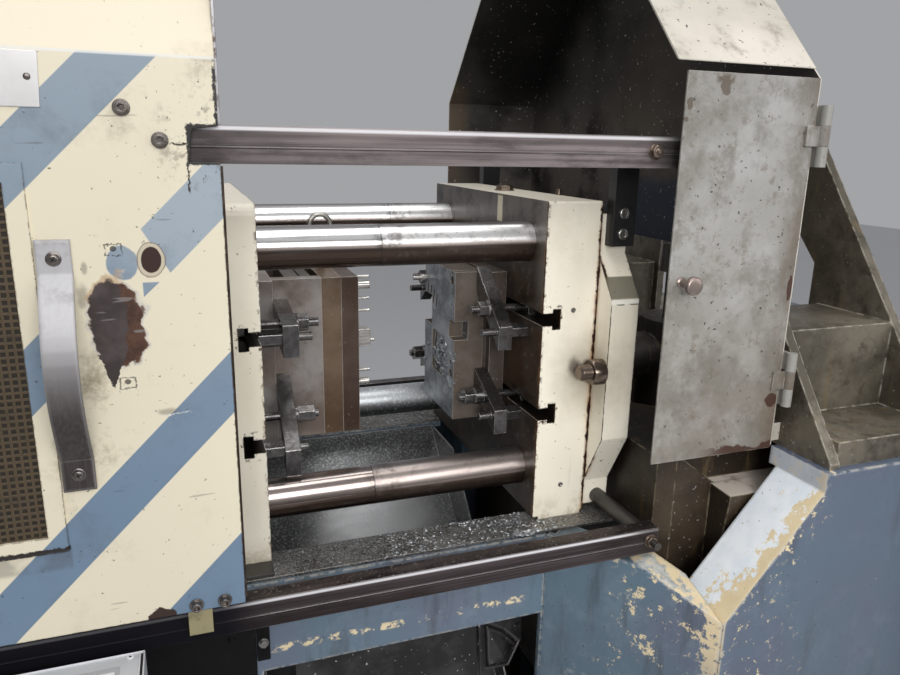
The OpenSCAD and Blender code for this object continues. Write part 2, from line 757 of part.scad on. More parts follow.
// A-shaped plates that carry the injection cylinder over the furnace
arch_half = 240;
arch_top = furnace_h + 388;
arch_eave = furnace_h + 258;
frame_rail = 40;
block_y = 420;
block_top = furnace_h + 184;
function frame_y(z) = frame_low - (z - furnace_h) / frame_rise;
module injection_frame() {
    color("dimgray") {
        for (x = [frame_x0, frame_x1]) difference() {
            end_profile([[-frame_low, furnace_h], [-frame_low, furnace_h + 8], [-frame_y(frame_top), frame_top],
                         [frame_y(frame_top), frame_top], [frame_low, furnace_h + 8], [frame_low, furnace_h]],
                        x, x + frame_plate);
            end_profile([[-arch_half, furnace_h - 1], [-arch_half, arch_eave], [-arch_half / 2, arch_top],
                         [arch_half / 2, arch_top], [arch_half, arch_eave], [arch_half, furnace_h - 1]],
                        x - 1, x + frame_plate + 1);
        }
        both_sides() {
            block(frame_x0 + frame_plate, frame_x1, -block_y, -arch_half - 20, furnace_h + frame_rail, block_top);
            block(frame_x0 + frame_plate, frame_x1, -frame_low + 6, -arch_half - 20,
                  furnace_h, furnace_h + frame_rail);
            block(frame_x1 + frame_plate, frame_x1 + 295, -frame_low + 6, -block_y + 90,
                  furnace_h, furnace_h + frame_rail);
        }
        difference() {
            block(frame_x0 + frame_plate, frame_x1, -frame_y(frame_top), frame_y(frame_top),
                  frame_top - frame_rail, frame_top);
            translate([shot_x, 0, frame_top - frame_rail - 1])
                cylinder(d = plunger_d + 2, h = frame_rail + 2, $fn = 48);
        }
    }
}

plunger_d = 60;
plunger_z = furnace_h + 68;
module injection_cylinder() {
    color("gray") {
        translate([shot_x, 0, frame_top]) {
            cylinder(d = shot_d + 50, h = 30, $fn = 64);
            cylinder(d = shot_d, h = shot_len, $fn = 64);
            translate([0, 0, shot_len - 30]) cylinder(d = shot_d + 30, h = 30, $fn = 64);
        }
        translate([shot_x, 0, plunger_z]) cylinder(d = plunger_d, h = frame_top - plunger_z, $fn = 48);
        translate([shot_x, 0, plunger_z + 140]) cylinder(d = plunger_d + 30, h = 60, $fn = 48);
    }
}

// Gooseneck that hangs in the furnace, with its nozzle to the fixed platen
neck_d = 150;
neck_len = 250;
neck_low = casing_top - 120;
yoke_z = furnace_h + 43;
nozzle_d = 60;
module gooseneck() {
    color("dimgray") {
        difference() {
            translate([shot_x, 0, neck_low]) cylinder(d = neck_d, h = neck_len, $fn = 64);
            translate([shot_x, 0, plunger_z - 10]) cylinder(d = plunger_d + 2, h = neck_len, $fn = 48);
        }
        difference() {
            block(shot_x - 25, shot_x + 25, -arch_half - 20, arch_half + 20, yoke_z, yoke_z + 45);
            translate([shot_x, 0, yoke_z - 1]) cylinder(d = neck_d - 10, h = 50, $fn = 48);
        }
        bar_x(100, platen_back + 80, shot_x - neck_d / 2 + 15, 0, axis_h - 80);
        bar_x(nozzle_d, fixed_x, platen_back + 90, 0, axis_h);
        block(platen_back + 60, platen_back + 150, -50, 50, axis_h - 130, axis_h + 40);
    }
}

// Hood: one folded sheet with its open side towards the platens
function roof_y(z) = hood_half - (z - eave_h) / tan(roof_slope);
hood_low = furnace_h + 8;
wall_low = hood_low + 285;
eave_gap = 16;
hood_mid = (hood_x0 + hood_x1) / 2;
module hood_shell() {
    front_low = eave_h + eave_gap;
    color("gray") {
        difference() {
            end_profile([[hood_half, hood_low], [hood_half, eave_h], [roof_y(hood_top), hood_top],
                         [-roof_y(hood_top), hood_top], [-roof_y(front_low), front_low],
                         [-roof_y(front_low), front_low - hood_t / 2],
                         [-roof_y(front_low) + hood_t + 1, front_low],
                         [-roof_y(hood_top) + hood_t / 2, hood_top - hood_t],
                         [roof_y(hood_top) - hood_t / 2, hood_top - hood_t],
                         [hood_half - hood_t, eave_h - hood_t / 2],
                         [hood_half - hood_t, hood_low]], hood_x0, hood_x1);
            translate([hood_mid, 0, hood_top - 20]) cylinder(d = duct_d - 6, h = 30, $fn = 64);
        }
        end_profile([[hood_half - hood_t, hood_low], [hood_half - hood_t, eave_h],
                     [roof_y(hood_top) - hood_t, hood_top - hood_t],
                     [-roof_y(hood_top) + hood_t, hood_top - hood_t], [-hood_half + 2, eave_h],
                     [-hood_half + 2, hood_low], [-hood_half + 54, hood_low], [-hood_half + 54, wall_low],
                     [hood_half - 54, wall_low], [hood_half - 54, hood_low]], hood_x1 - hood_t, hood_x1);
        both_sides() {
            block(hood_x1, frame_x0, -440, -405, hood_low, hood_low + 30);
            block(hood_x1, frame_x0, -150, -110, frame_top - 100, frame_top - 60);
        }
    }
}

module hood_collar() {
    color("gray") difference() {
        translate([hood_mid, 0, hood_top]) cylinder(d = duct_d, h = 80, $fn = 64);
        translate([hood_mid, 0, hood_top - eps]) cylinder(d = duct_d - 6, h = 81, $fn = 64);
    }
}

hood_door_y = -hood_half - 3.3;
pin_x = hood_x1 + 4;
pin_y = hood_door_y - 8;
knuckle_d = 16;
pin_d = 8;
hinge_z = [hood_low + 98, eave_h - 92];
knuckle_h = 28;
module knuckle(z, h, bore) {
    difference() {
        translate([pin_x, pin_y, z]) cylinder(d = knuckle_d, h = h, $fn = 48);
        translate([pin_x, pin_y, z - 1]) cylinder(d = bore, h = h + 2, $fn = 48);
    }
}
module hood_door() {
    color("gray") {
        block(hood_x0 + 1, hood_x1 - 10, hood_door_y - hood_t, hood_door_y, hood_low, eave_h);
        for (z = hinge_z) {
            difference() {
                block(hood_x1 - 26, pin_x, hood_door_y - hood_t - 4, hood_door_y - hood_t, z, z + knuckle_h);
                translate([pin_x, pin_y, z - 1]) cylinder(d = knuckle_d - 1, h = knuckle_h + 2, $fn = 48);
            }
            knuckle(z, knuckle_h, pin_d + 0.1);
        }
    }
}

// Fixed halves of the hood door's hinges, with their pins
module hood_hinges() {
    color("gray") for (z = hinge_z) {
        translate([pin_x, pin_y, z - knuckle_h - seat]) cylinder(d = pin_d, h = 3 * knuckle_h + 2 * seat, $fn = 48);
        for (zk = [z - knuckle_h - seat, z + knuckle_h + seat]) {
            knuckle(zk, knuckle_h, pin_d - 1);
            block(hood_x1, hood_x1 + 5, pin_y, -hood_half + 40, zk, zk + knuckle_h);
        }
    }
}

module door_knob() {
    color("silver") {
        bar_y(12, hood_door_y - hood_t - 24, hood_door_y - hood_t, hood_x0 + 22, axis_h + 172);
        bar_y(26, hood_door_y - hood_t - 32, hood_door_y - hood_t - 24, hood_x0 + 22, axis_h + 172);
    }
}

// Switch box on two brackets in front of the base, under the guard
box_x = [-580, -180];
box_z = [slide_h - 220, slide_h + 23];
box_back = rail_front - 20;
box_front = box_back - 105;
bracket = 40;
module control_box() {
    color("lightgray") {
        block(box_x[0], box_x[1], box_front, box_back, box_z[0], box_z[1]);
        for (x = [box_x[0] + 20, box_x[1] - 20 - bracket])
            block(x, x + bracket, box_back, -clamp_half, box_z[0] + 50, box_z[0] + 50 + bracket);
    }
}

clamp_base();
splay_walls();
furnace_base();
levelling_feet();
slideways();
drop_chute();
fixed_platen();
platen_ribs();
rail_posts();
rail_rods();
bar_upper_front();
bar_upper_rear();
bar_lower_front();
bar_lower_rear();
bar_nuts();
end_platen();
closing_cylinder();
clamp_housing();
cover_front();
cover_rear();
moving_platen();
platen_shoes();
closing_rod();
ejector_base();
ejector_rails();
ejector_pack();
ejector_plate();
ejector_face();
ejector_pins();
ejector_clamps();
lifting_eye();
cover_base();
cover_mid();
cover_face();
cover_pin();
cover_clamps();
top_rail();
bottom_rail();
rear_rails();
rear_guard();
guard_door();
window_frame();
window_mesh();
guard_handle();
guard_shoes();
furnace_casing();
injection_frame();
injection_cylinder();
gooseneck();
hood_shell();
hood_collar();
hood_door();
hood_hinges();
door_knob();
control_box();
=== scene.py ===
"""Finishes, small parts, camera and light for a hot-chamber die casting machine."""

import json
import random
from math import cos, pi, radians, sin, tau

import bmesh
import bpy
from mathutils import Matrix, Vector, noise


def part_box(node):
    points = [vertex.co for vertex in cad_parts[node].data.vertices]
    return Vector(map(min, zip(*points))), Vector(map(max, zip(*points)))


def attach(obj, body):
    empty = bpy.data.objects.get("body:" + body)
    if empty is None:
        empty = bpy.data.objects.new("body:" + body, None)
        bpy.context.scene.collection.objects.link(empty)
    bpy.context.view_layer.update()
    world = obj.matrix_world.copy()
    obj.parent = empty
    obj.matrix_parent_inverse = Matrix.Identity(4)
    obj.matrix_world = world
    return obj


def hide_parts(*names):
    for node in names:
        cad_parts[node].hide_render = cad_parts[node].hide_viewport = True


bl_info = {
    "name": "Die Casting Machine",
    "version": (1, 0, 0),
    "blender": (4, 5, 0),
    "location": "View3D > Sidebar > Machine",
    "description": "Dresses the packed die casting machine with finishes and small parts",
    "category": "Object",
}

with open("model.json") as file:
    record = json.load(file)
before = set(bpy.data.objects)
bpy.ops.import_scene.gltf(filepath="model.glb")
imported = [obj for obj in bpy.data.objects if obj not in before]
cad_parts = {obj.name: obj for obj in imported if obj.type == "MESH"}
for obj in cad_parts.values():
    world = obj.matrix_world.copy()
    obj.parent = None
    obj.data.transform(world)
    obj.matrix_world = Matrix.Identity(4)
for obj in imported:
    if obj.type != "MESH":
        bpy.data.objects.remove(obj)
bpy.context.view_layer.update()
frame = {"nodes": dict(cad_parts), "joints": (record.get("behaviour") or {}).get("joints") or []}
NODES = frame["nodes"]
PLATEN_STROKE = next(joint["range_m"][1] for joint in frame["joints"] if joint["name"] == "platen_slide")
FLAT_CRUMB = 0.00008  # half the thickness of a crumb that the shoes have rolled flat
LIT_TOP_HIGH = 0.985  # only upper faces below this height get painted light: the lid of the small front box
STRIPES = (0.775, 1.010, 1.2455, 1.4755, 1.6995, 1.930, 2.160, 2.390, 2.620)


def low(node):
    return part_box(node)[0]


def high(node):
    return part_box(node)[1]


# ---------------------------------------------------------------- settings


def colour(name, text, value):
    return bpy.props.FloatVectorProperty(
        name=name, description=text, default=value, size=3, min=0.0, max=1.0, subtype="COLOR"
    )


def length(name, text, value):
    return bpy.props.FloatProperty(name=name, description=text, default=value, min=0.0, unit="LENGTH")


class MachineColours(bpy.types.PropertyGroup):
    """Paints, metals and dirt of the machine"""

    cream: colour("Cream", "Paint of the guards and covers", (0.83, 0.755, 0.58))
    platen: colour("Platen", "Paint of the platens, paler than the guards", (0.93, 0.868, 0.725))
    stripe_high: colour("Stripe, high", "Paint of the warning stripes, high on the guard", (0.27, 0.335, 0.40))
    stripe_low: colour("Stripe, low", "Paint of the warning stripes, low on the guard", (0.165, 0.245, 0.345))
    blue: colour("Blue", "Paint of the base", (0.118, 0.178, 0.230))
    pale_blue: colour("Pale blue", "Faded paint on the edges of the base", (0.80, 0.86, 0.92))
    primer: colour("Primer", "Yellow primer under the base's paint", (0.70, 0.55, 0.33))
    hood: colour("Hood", "Grey paint of the hood", (0.31, 0.30, 0.278))
    soot: colour("Soot", "Soot inside the hood", (0.006, 0.005, 0.005))
    rust: colour("Rust", "Rust on seams and edges", (0.145, 0.048, 0.016))
    grime: colour("Grime", "Oil and dirt", (0.035, 0.026, 0.018))
    bar: colour("Tie bar", "Chromed tie bars", (0.95, 0.94, 0.93))
    bar_low: colour("Lower tie bar", "Chromed lower bar, browned by oil", (0.47, 0.40, 0.37))
    rail: colour("Rail", "Drawn steel of the rear guide rails", (0.10, 0.085, 0.088))
    mesh: colour("Mesh", "Perforated window sheet", (0.105, 0.074, 0.040))
    box: colour("Switch box", "Light grey paint", (0.60, 0.615, 0.64))


class MachineSizes(bpy.types.PropertyGroup):
    """Sizes of the small parts"""

    stripe_width: length("Stripe width", "Width of a stripe, along Z", 0.0755)
    mesh_pitch: length("Mesh pitch", "Distance between the window's square holes", 0.0080)
    mesh_hole: length("Mesh hole", "Width of the window's square holes", 0.0050)
    mesh_depth: length("Mesh depth", "Depth of the holes down to the dirt in them", 0.0012)
    screw: length("Guard screws", "Head diameter of the guard's socket screws", 0.0125)
    washer: length("Guard washers", "Diameter of the washers under them", 0.0175)
    crumbs: bpy.props.IntProperty(name="Crumbs", description="Zinc crumbs on the base", default=1500, min=0)


# ---------------------------------------------------------------- finishes


class Finish:
    """Nodes of one finish, in object coordinates, which are metres in the machine's frame"""

    def __init__(self, name, metallic=0.0):
        self.material = bpy.data.materials.new(name)
        self.material.use_nodes = True
        self.tree = self.material.node_tree
        self.shader = self.tree.nodes["Principled BSDF"]
        self.shader.inputs["Metallic"].default_value = metallic
        self.place = self.add("ShaderNodeTexCoord")["Object"]
        axes = self.add("ShaderNodeSeparateXYZ", Vector=self.place)
        self.x, self.y, self.z = axes["X"], axes["Y"], axes["Z"]
        self.normal = None

    def add(self, kind, settings=(), **inputs):
        node = self.tree.nodes.new(kind)
        for key, value in dict(settings).items():
            setattr(node, key, value)
        for key, value in inputs.items():
            socket = node.inputs[int(key[1:])] if key[0] == "_" else node.inputs[key.replace("_", " ")]
            self.feed(socket, value)
        return node.outputs

    def feed(self, socket, value):
        if isinstance(value, bpy.types.NodeSocket):
            self.tree.links.new(value, socket)
        elif socket.type == "RGBA":
            socket.default_value = (*value[:3], 1.0)
        else:
            socket.default_value = value

    def sum(self, operation, first, second=0.0):
        return self.add("ShaderNodeMath", {"operation": operation}, _0=first, _1=second)[0]

    def times(self, *values):
        result = values[0]
        for value in values[1:]:
            result = self.sum("MULTIPLY", result, value)
        return result

    def most(self, *values):
        result = values[0]
        for value in values[1:]:
            result = self.sum("MAXIMUM", result, value)
        return result

    def without(self, value):
        return self.sum("SUBTRACT", 1.0, value)

    def ramp(self, value, start, end):
        """0 below start and 1 above end, or the other way round where start is higher"""
        return self.add(
            "ShaderNodeMapRange", {"interpolation_type": "SMOOTHSTEP"}, Value=value, From_Min=start, From_Max=end
        )["Result"]

    def noise(self, size, detail=4.0, rough=0.55, stretch=(1, 1, 1), shift=0.0):
        place = self.add("ShaderNodeMapping", Vector=self.place, Scale=stretch, Location=(shift, shift, shift))
        return self.add(
            "ShaderNodeTexNoise", Vector=place["Vector"], Scale=1.0 / size, Detail=detail, Roughness=rough
        )[0]

    def blend(self, factor, first, second, mode="MIX"):
        return self.add(
            "ShaderNodeMix", {"data_type": "RGBA", "blend_type": mode}, _0=factor, _6=first, _7=second
        )[2]

    def spot(self, centre, radii, ragged=0.35, grain=0.03, soft=0.06):
        """1 inside an uneven patch round centre"""
        away = self.add("ShaderNodeVectorMath", {"operation": "SUBTRACT"}, _0=self.place, _1=centre)[0]
        away = self.add("ShaderNodeVectorMath", {"operation": "DIVIDE"}, _0=away, _1=radii)[0]
        away = self.add("ShaderNodeVectorMath", {"operation": "LENGTH"}, _0=away)["Value"]
        wobble = self.times(self.sum("SUBTRACT", self.noise(grain, 5), 0.5), 2 * ragged)
        return self.ramp(self.sum("ADD", away, wobble), 1 + soft, 1 - soft)

    def between(self, value, start, end, soft=0.001):
        return self.times(self.ramp(value, start - soft, start + soft), self.ramp(value, end + soft, end - soft))

    def edges(self, width=0.003):
        """1 along the edges of the shape; also rounds them a little in the light"""
        bevel = self.add("ShaderNodeBevel", {"samples": 4}, Radius=width)["Normal"]
        flat = self.add("ShaderNodeNewGeometry")["True Normal"]
        turn = self.add("ShaderNodeVectorMath", {"operation": "DOT_PRODUCT"}, _0=bevel, _1=flat)["Value"]
        self.normal = bevel
        return self.ramp(turn, 0.995, 0.90)

    def facing(self, axis, sign):
        """1 on faces that look along an axis"""
        flat = self.add("ShaderNodeNewGeometry")["True Normal"]
        axes = self.add("ShaderNodeSeparateXYZ", Vector=flat)
        return self.ramp(self.times(axes[axis], float(sign)), 0.8, 0.9)

    def finish(self, tone, rough, height=None, strength=0.3, depth=0.001):
        self.feed(self.shader.inputs["Base Color"], tone)
        self.feed(self.shader.inputs["Roughness"], rough)
        normal = self.normal
        if height is not None:
            inputs = {"Height": height, "Strength": strength, "Distance": depth}
            if normal is not None:
                inputs["Normal"] = normal
            normal = self.add("ShaderNodeBump", **inputs)["Normal"]
        if normal is not None:
            self.feed(self.shader.inputs["Normal"], normal)
        return self.material


def paint_layers(f, paint, c, grime=0.5, specks=0.6):
    """Paint with uneven dirt, greasy clouds and small dark specks"""
    tone = f.blend(f.times(f.noise(0.30, 3), 0.30), paint, [k * 0.72 for k in paint])
    clouds = f.times(f.ramp(f.noise(0.11, 6, 0.68), 0.52, 0.78), grime)
    tone = f.blend(clouds, tone, [0.45 * a + 0.55 * b for a, b in zip(paint, c.grime)])
    dots = f.times(f.ramp(f.noise(0.0075, 3, 0.6), 0.665, 0.72), specks)
    return f.blend(dots, tone, c.grime)


def cream_paint(name, c, platen=None, seam=None, paint=None):
    """Greasy cream paint; platen is (x of the bare die face, way it looks), seam the (x, y) of a rusty weld"""
    f = Finish(name)
    edge = f.edges(0.003)
    tone = paint_layers(f, list(paint or c.cream), c, 0.22, 0.7)
    yellow = f.ramp(f.noise(0.14, 5, 0.6, (1, 1, 0.5), 2.0), 0.50, 0.72)
    tone = f.blend(f.times(yellow, 0.16), tone, [0.55, 0.44, 0.24])
    drips = f.times(f.ramp(f.noise(0.012, 4, 0.6, (1.0, 1.0, 0.08)), 0.62, 0.76), 0.22)
    tone = f.blend(drips, tone, [0.33, 0.25, 0.14])
    chips = f.ramp(f.sum("ADD", f.times(edge, 0.30), f.noise(0.012, 5, 0.65)), 0.75, 0.80)
    tone = f.blend(f.times(edge, 0.30), tone, [0.93, 0.89, 0.76])
    tone = f.blend(chips, tone, f.blend(f.noise(0.01), c.grime, c.rust))
    if platen:
        face, sign = platen
        deep = f.times(f.sum("SUBTRACT", f.x, face), float(-sign))
        bare = f.facing("X", sign)
        steel = f.blend(f.ramp(f.noise(0.06, 6, 0.7), 0.38, 0.66), [0.018, 0.012, 0.008], [0.055, 0.037, 0.025])
        steel = f.blend(f.times(f.ramp(f.z, 1.32, 1.40), f.ramp(f.noise(0.03, 5), 0.3, 0.6)), steel, [0.110, 0.090, 0.078])
        steel = f.blend(f.times(f.ramp(f.noise(0.012, 4), 0.58, 0.70), 0.5), steel, [0.20, 0.17, 0.15])
        strip = f.times(f.between(f.y, -0.093, -0.071, 0.002), f.between(f.z, 1.372, 1.417, 0.002))
        steel = f.blend(f.times(strip, float(sign < 0)), steel, [0.78, 0.70, 0.52])
        rusty = f.times(f.between(f.z, 1.095, 1.210, 0.006), f.ramp(f.noise(0.05, 5, 0.6, (1, 1, 0.4)), 0.40, 0.60))
        steel = f.blend(f.times(rusty, 0.75), steel, [0.058, 0.027, 0.010])
        lit = f.times(f.ramp(f.y, -0.225, -0.262), f.ramp(f.z, 1.20, 1.30))
        steel = f.blend(f.times(lit, 0.5), steel, [0.24, 0.21, 0.18])
        tone = f.blend(bare, tone, steel)
        side = f.most(f.facing("Y", -1), f.facing("Y", 1))
        # painted shade in the T-slots and the recesses of the die face
        hollow_shade = f.times(f.between(deep, 0.0008, 0.040, 0.0006), f.without(side), f.between(f.z, 1.04, 1.26))
        tone = f.blend(hollow_shade, tone, [0.010, 0.007, 0.005])
        slots = f.most(f.between(f.z, 1.048, 1.092, 0.003), f.between(f.z, 1.210, 1.254, 0.003))
        lips = f.times(f.between(deep, -0.001, 0.036, 0.002), slots, f.ramp(f.noise(0.010, 5, 0.7), 0.54, 0.60))
        tone = f.blend(f.times(lips, side), tone, [0.060, 0.030, 0.018])
        rim = f.times(side, f.ramp(deep, 0.006, 0.0), f.ramp(f.noise(0.016, 5, 0.75), 0.52, 0.60))
        tone = f.blend(rim, tone, [0.10, 0.055, 0.03])
        foot = f.times(side, f.ramp(f.z, 0.925, 0.885), f.ramp(f.noise(0.03, 5, 0.7), 0.42, 0.60))
        tone = f.blend(f.times(foot, 0.45), tone, [0.42, 0.34, 0.20])
    if seam:
        level = f.most(f.facing("X", -1), f.facing("X", 1))
        over = f.sum("ABSOLUTE", f.sum("SUBTRACT", f.sum("ABSOLUTE", f.y), seam[1]))
        near = f.sum("ABSOLUTE", f.sum("SUBTRACT", f.x, seam[0]))
        near = f.sum("ADD", f.times(near, f.without(level)), f.times(over, level))
        stain = f.spot((0.53, -0.28, 1.135), (0.060, 0.05, 0.065), 0.45, 0.03, 0.6)
        tone = f.blend(f.times(stain, 0.45), tone, [0.20, 0.145, 0.075])
        oily = f.spot((0.497, -0.27, 1.148), (0.012, 0.02, 0.014), 0.5, 0.012, 0.6)
        tone = f.blend(f.times(oily, 0.75), tone, [0.060, 0.042, 0.028])
        weld = f.ramp(f.sum("ABSOLUTE", f.y), 0.300, 0.290)
        halo = f.times(f.ramp(f.noise(0.05, 5), 0.38, 0.62), f.ramp(near, 0.0150, 0.0), f.ramp(near, 0.0150, 0.0))
        tone = f.blend(f.times(halo, weld, 0.75), tone, [0.42, 0.22, 0.07])
        tone = f.blend(f.times(f.ramp(near, 0.0060, 0.0010), weld, f.ramp(f.noise(0.02, 5), 0.30, 0.55), 0.8), tone, [0.20, 0.075, 0.022])
        reach = f.sum("ADD", 0.0004, f.times(f.ramp(f.noise(0.012, 5, 0.7), 0.40, 0.66), f.sum("ADD", 0.0008, f.times(weld, 0.0034))))
        tone = f.blend(f.ramp(f.sum("SUBTRACT", near, reach), 0.0009, 0.0), tone, [0.030, 0.011, 0.005])
        # painted shadow across the lower half of the rib's upper slope
        slope = f.between(f.z, 1.2685, 1.3010, 0.0012)
        slope = f.times(slope, f.ramp(f.sum("ABSOLUTE", f.y), 0.272, 0.276), f.without(level))
        tone = f.blend(f.times(slope, 0.85), tone, [0.110, 0.100, 0.062])
        # painted shade on the rib's lower slope
        lower = f.times(f.between(f.z, 0.934, 1.0275, 0.001), f.ramp(f.sum("ABSOLUTE", f.y), 0.272, 0.276), f.without(level))
        tone = f.blend(f.times(lower, f.without(f.facing("Y", -1)), 0.45), tone, [0.23, 0.19, 0.125])
        # painted highlight: a bright line along the edge below the rib's slope
        proud = f.times(f.facing("Y", -1), f.ramp(f.y, -0.290, -0.300))
        rim = f.times(f.between(f.z, 1.2605, 1.2680, 0.0008), proud, f.ramp(f.noise(0.02), 0.30, 0.42))
        tone = f.blend(f.times(rim, 0.8), tone, [0.97, 0.95, 0.88])
        crack = f.times(f.between(f.z, 1.2585, 1.2605, 0.0006), proud, f.ramp(f.noise(0.012), 0.45, 0.50))
        tone = f.blend(f.times(crack, 0.8), tone, [0.03, 0.025, 0.018])
    return f.finish(tone, 0.36, f.noise(0.003, 5), 0.08, 0.001)


def stripes(f, sizes):
    """1 inside the slanting stripes, which are not quite evenly spaced"""
    slant = f.sum("SUBTRACT", f.z, f.x)
    bands = [f.between(slant, at, at + sizes.stripe_width, 0.0009) for at in STRIPES]
    return f.most(*bands)


def guard_paint(name, c, sizes, worn=True):
    """Cream guard sheet with blue stripes, and on the operator's side its bare patches"""
    f = Finish(name)
    edge = f.edges(0.0025)
    band = stripes(f, sizes)
    upright = f.ramp(f.z, 1.586, 1.585)
    band = f.times(band, upright)
    blue = f.blend(f.ramp(f.z, 1.0, 1.56), c.stripe_low, c.stripe_high)
    faded = f.spot((-0.10, -0.438, 1.43), (0.075, 1.0, 0.085), 0.2, 0.05, 0.6)
    blue = f.blend(f.times(faded, 0.55), blue, [0.46, 0.51, 0.55])
    blue = f.blend(f.times(f.ramp(f.noise(0.05, 5, 0.65), 0.50, 0.74), 0.35), blue, [0.10, 0.13, 0.16])
    if worn:
        gap_end = f.sum("ADD", -0.1449, f.times(f.sum("SUBTRACT", 1.4078, f.z), 0.549))
        repaint = f.times(
            f.ramp(f.x, -0.2482, -0.2478),
            f.ramp(f.sum("SUBTRACT", f.x, gap_end), 0.001, -0.001),
            f.between(f.sum("SUBTRACT", f.z, f.x), 1.44, 1.60),
        )
        band = f.times(band, f.without(repaint))
        band = f.most(band, f.spot((-0.1665, -0.438, 1.3705), (0.0165, 0.1, 0.0185), 0.22, 0.03))
        slant = f.sum("SUBTRACT", f.z, f.times(f.x, 0.933))
        band = f.most(band, f.times(f.ramp(f.x, -0.1475, -0.1465), f.ramp(f.z, 1.3487, 1.3475), f.ramp(slant, 1.4684, 1.4694)))
        band = f.most(band, f.times(f.between(f.sum("SUBTRACT", f.z, f.x), 0.93, 1.02), f.ramp(f.z, 1.0, 0.99)))
    tone = f.blend(band, c.cream, blue)
    clouds = f.ramp(f.noise(0.09, 6, 0.7), 0.54, 0.76)
    near_top = f.spot((-0.09, -0.438, 1.52), (0.075, 0.2, 0.075), 0.3, 0.03, 0.6)
    near_grip = f.spot((-0.20, -0.438, 1.20), (0.06, 0.2, 0.13), 0.3, 0.03, 0.6)
    dirt = f.times(clouds, f.sum("ADD", 0.16, f.times(f.most(near_top, near_grip), 0.70)))
    tone = f.blend(dirt, tone, [0.20, 0.15, 0.085])
    scratch = f.ramp(f.noise(0.010, 2, 0.5, (0.12, 1, 1.0), 3.0), 0.71, 0.73)
    tone = f.blend(f.times(scratch, 0.35), tone, c.grime)
    dots = f.ramp(f.noise(0.0055, 2, 0.5, shift=5.0), 0.715, 0.75)
    tone = f.blend(f.times(dots, 0.7), tone, c.grime)
    chips = f.ramp(f.sum("ADD", f.times(edge, 0.30), f.noise(0.010, 5, 0.7)), 0.76, 0.81)
    tone = f.blend(chips, tone, [0.10, 0.065, 0.045])
    # painted highlight along the fold of the sheet, and above it painted light that makes the upper sheet warmer and
    # lighter
    fold_highlight = f.between(f.z, 1.5835, 1.5865, 0.001)
    tone = f.blend(f.times(fold_highlight, 0.8), tone, [0.88, 0.87, 0.83])
    tone = f.blend(f.ramp(f.z, 1.5855, 1.5865), tone, f.blend(0.5, tone, [0.90, 0.80, 0.62]))
    rough = 0.36
    if worn:
        wobble = f.times(f.sum("SUBTRACT", f.noise(0.006, 4, 0.7), 0.5), 0.010)
        x, z = f.sum("ADD", f.x, wobble), f.sum("ADD", f.z, wobble)
        tear = f.times(f.ramp(x, -0.0925, -0.0905), f.between(z, 1.4745, 1.5175, 0.0008), f.ramp(f.x, -0.0560, -0.0562))
        crack = f.times(f.between(x, -0.0925, -0.0905, 0.0006), f.between(z, 1.445, 1.480, 0.003))
        side_crack = f.times(f.between(z, 1.4955, 1.4975, 0.0006), f.between(x, -0.1085, -0.090, 0.002))
        chipped = f.times(f.ramp(x, -0.0620, -0.0605), f.between(z, 1.515, 1.583, 0.003), f.ramp(f.noise(0.008, 4), 0.42, 0.5))
        black = f.most(tear, crack, side_crack, chipped)
        tone = f.blend(black, tone, [0.012, 0.009, 0.008])
        halo = f.spot((-0.078, -0.438, 1.500), (0.040, 0.1, 0.050), 0.5, 0.02, 0.5)
        tone = f.blend(f.times(halo, f.ramp(f.noise(0.012, 5, 0.7), 0.50, 0.66), 0.6), tone, [0.13, 0.10, 0.065])
        # painted shadow: a dark line under the lower edge of the raised window frame
        low_edge = f.times(f.between(z, 1.0375, 1.0435, 0.001), f.ramp(f.x, -0.2475, -0.2495))
        tone = f.blend(low_edge, tone, [0.020, 0.014, 0.012])
        squares = 0.0
        for at_x, at_z, w in ((-0.1735, 1.3850, 0.009), (-0.1710, 1.2345, 0.009)):
            ax = f.sum("ABSOLUTE", f.sum("SUBTRACT", x, at_x))
            az = f.sum("ABSOLUTE", f.sum("SUBTRACT", z, at_z))
            outer = f.most(ax, f.times(az, 1.35))
            frame_line = f.between(outer, w - 0.0016, w, 0.0005)
            dot = f.spot((at_x, -0.438, at_z + 0.001), (0.0035, 0.1, 0.0030), 0.5, 0.01)
            squares = f.most(squares, f.times(frame_line, f.ramp(f.noise(0.006, 3), 0.38, 0.46)), dot)
        tone = f.blend(f.times(squares, 0.85), tone, [0.045, 0.038, 0.032])
        smudge = f.spot((-0.2035, -0.438, 1.366), (0.0030, 0.1, 0.006), 0.5, 0.02, 0.4)
        smudge = f.most(smudge, f.spot((-0.208, -0.438, 1.335), (0.005, 0.1, 0.012), 0.6, 0.01, 0.5))
        smudge = f.most(smudge, f.spot((-0.132, -0.438, 1.196), (0.010, 0.1, 0.004), 0.7, 0.01, 0.5))
        tone = f.blend(f.times(smudge, 0.50), tone, [0.12, 0.10, 0.075])
        nicks = f.times(f.between(f.sum("ADD", z, f.times(f.x, -0.10)), 1.2040, 1.2050, 0.0004), f.between(f.x, -0.137, -0.108, 0.004))
        tone = f.blend(f.times(nicks, 0.8), tone, [0.82, 0.81, 0.78])
        ring = f.spot((-0.1765, -0.438, 1.305), (0.0330, 0.1, 0.0510), 0.50, 0.028, 0.05)
        patch = f.spot((-0.1765, -0.438, 1.304), (0.0295, 0.1, 0.047), 0.55, 0.028, 0.03)
        slim = f.sum("SUBTRACT", f.sum("ABSOLUTE", f.sum("ADD", x, 0.1850)), f.times(f.sum("SUBTRACT", z, 1.2290), 0.36))
        spike = f.times(f.ramp(slim, 0.0004, -0.0004), f.between(z, 1.228, 1.270, 0.001))
        patch = f.most(patch, spike)
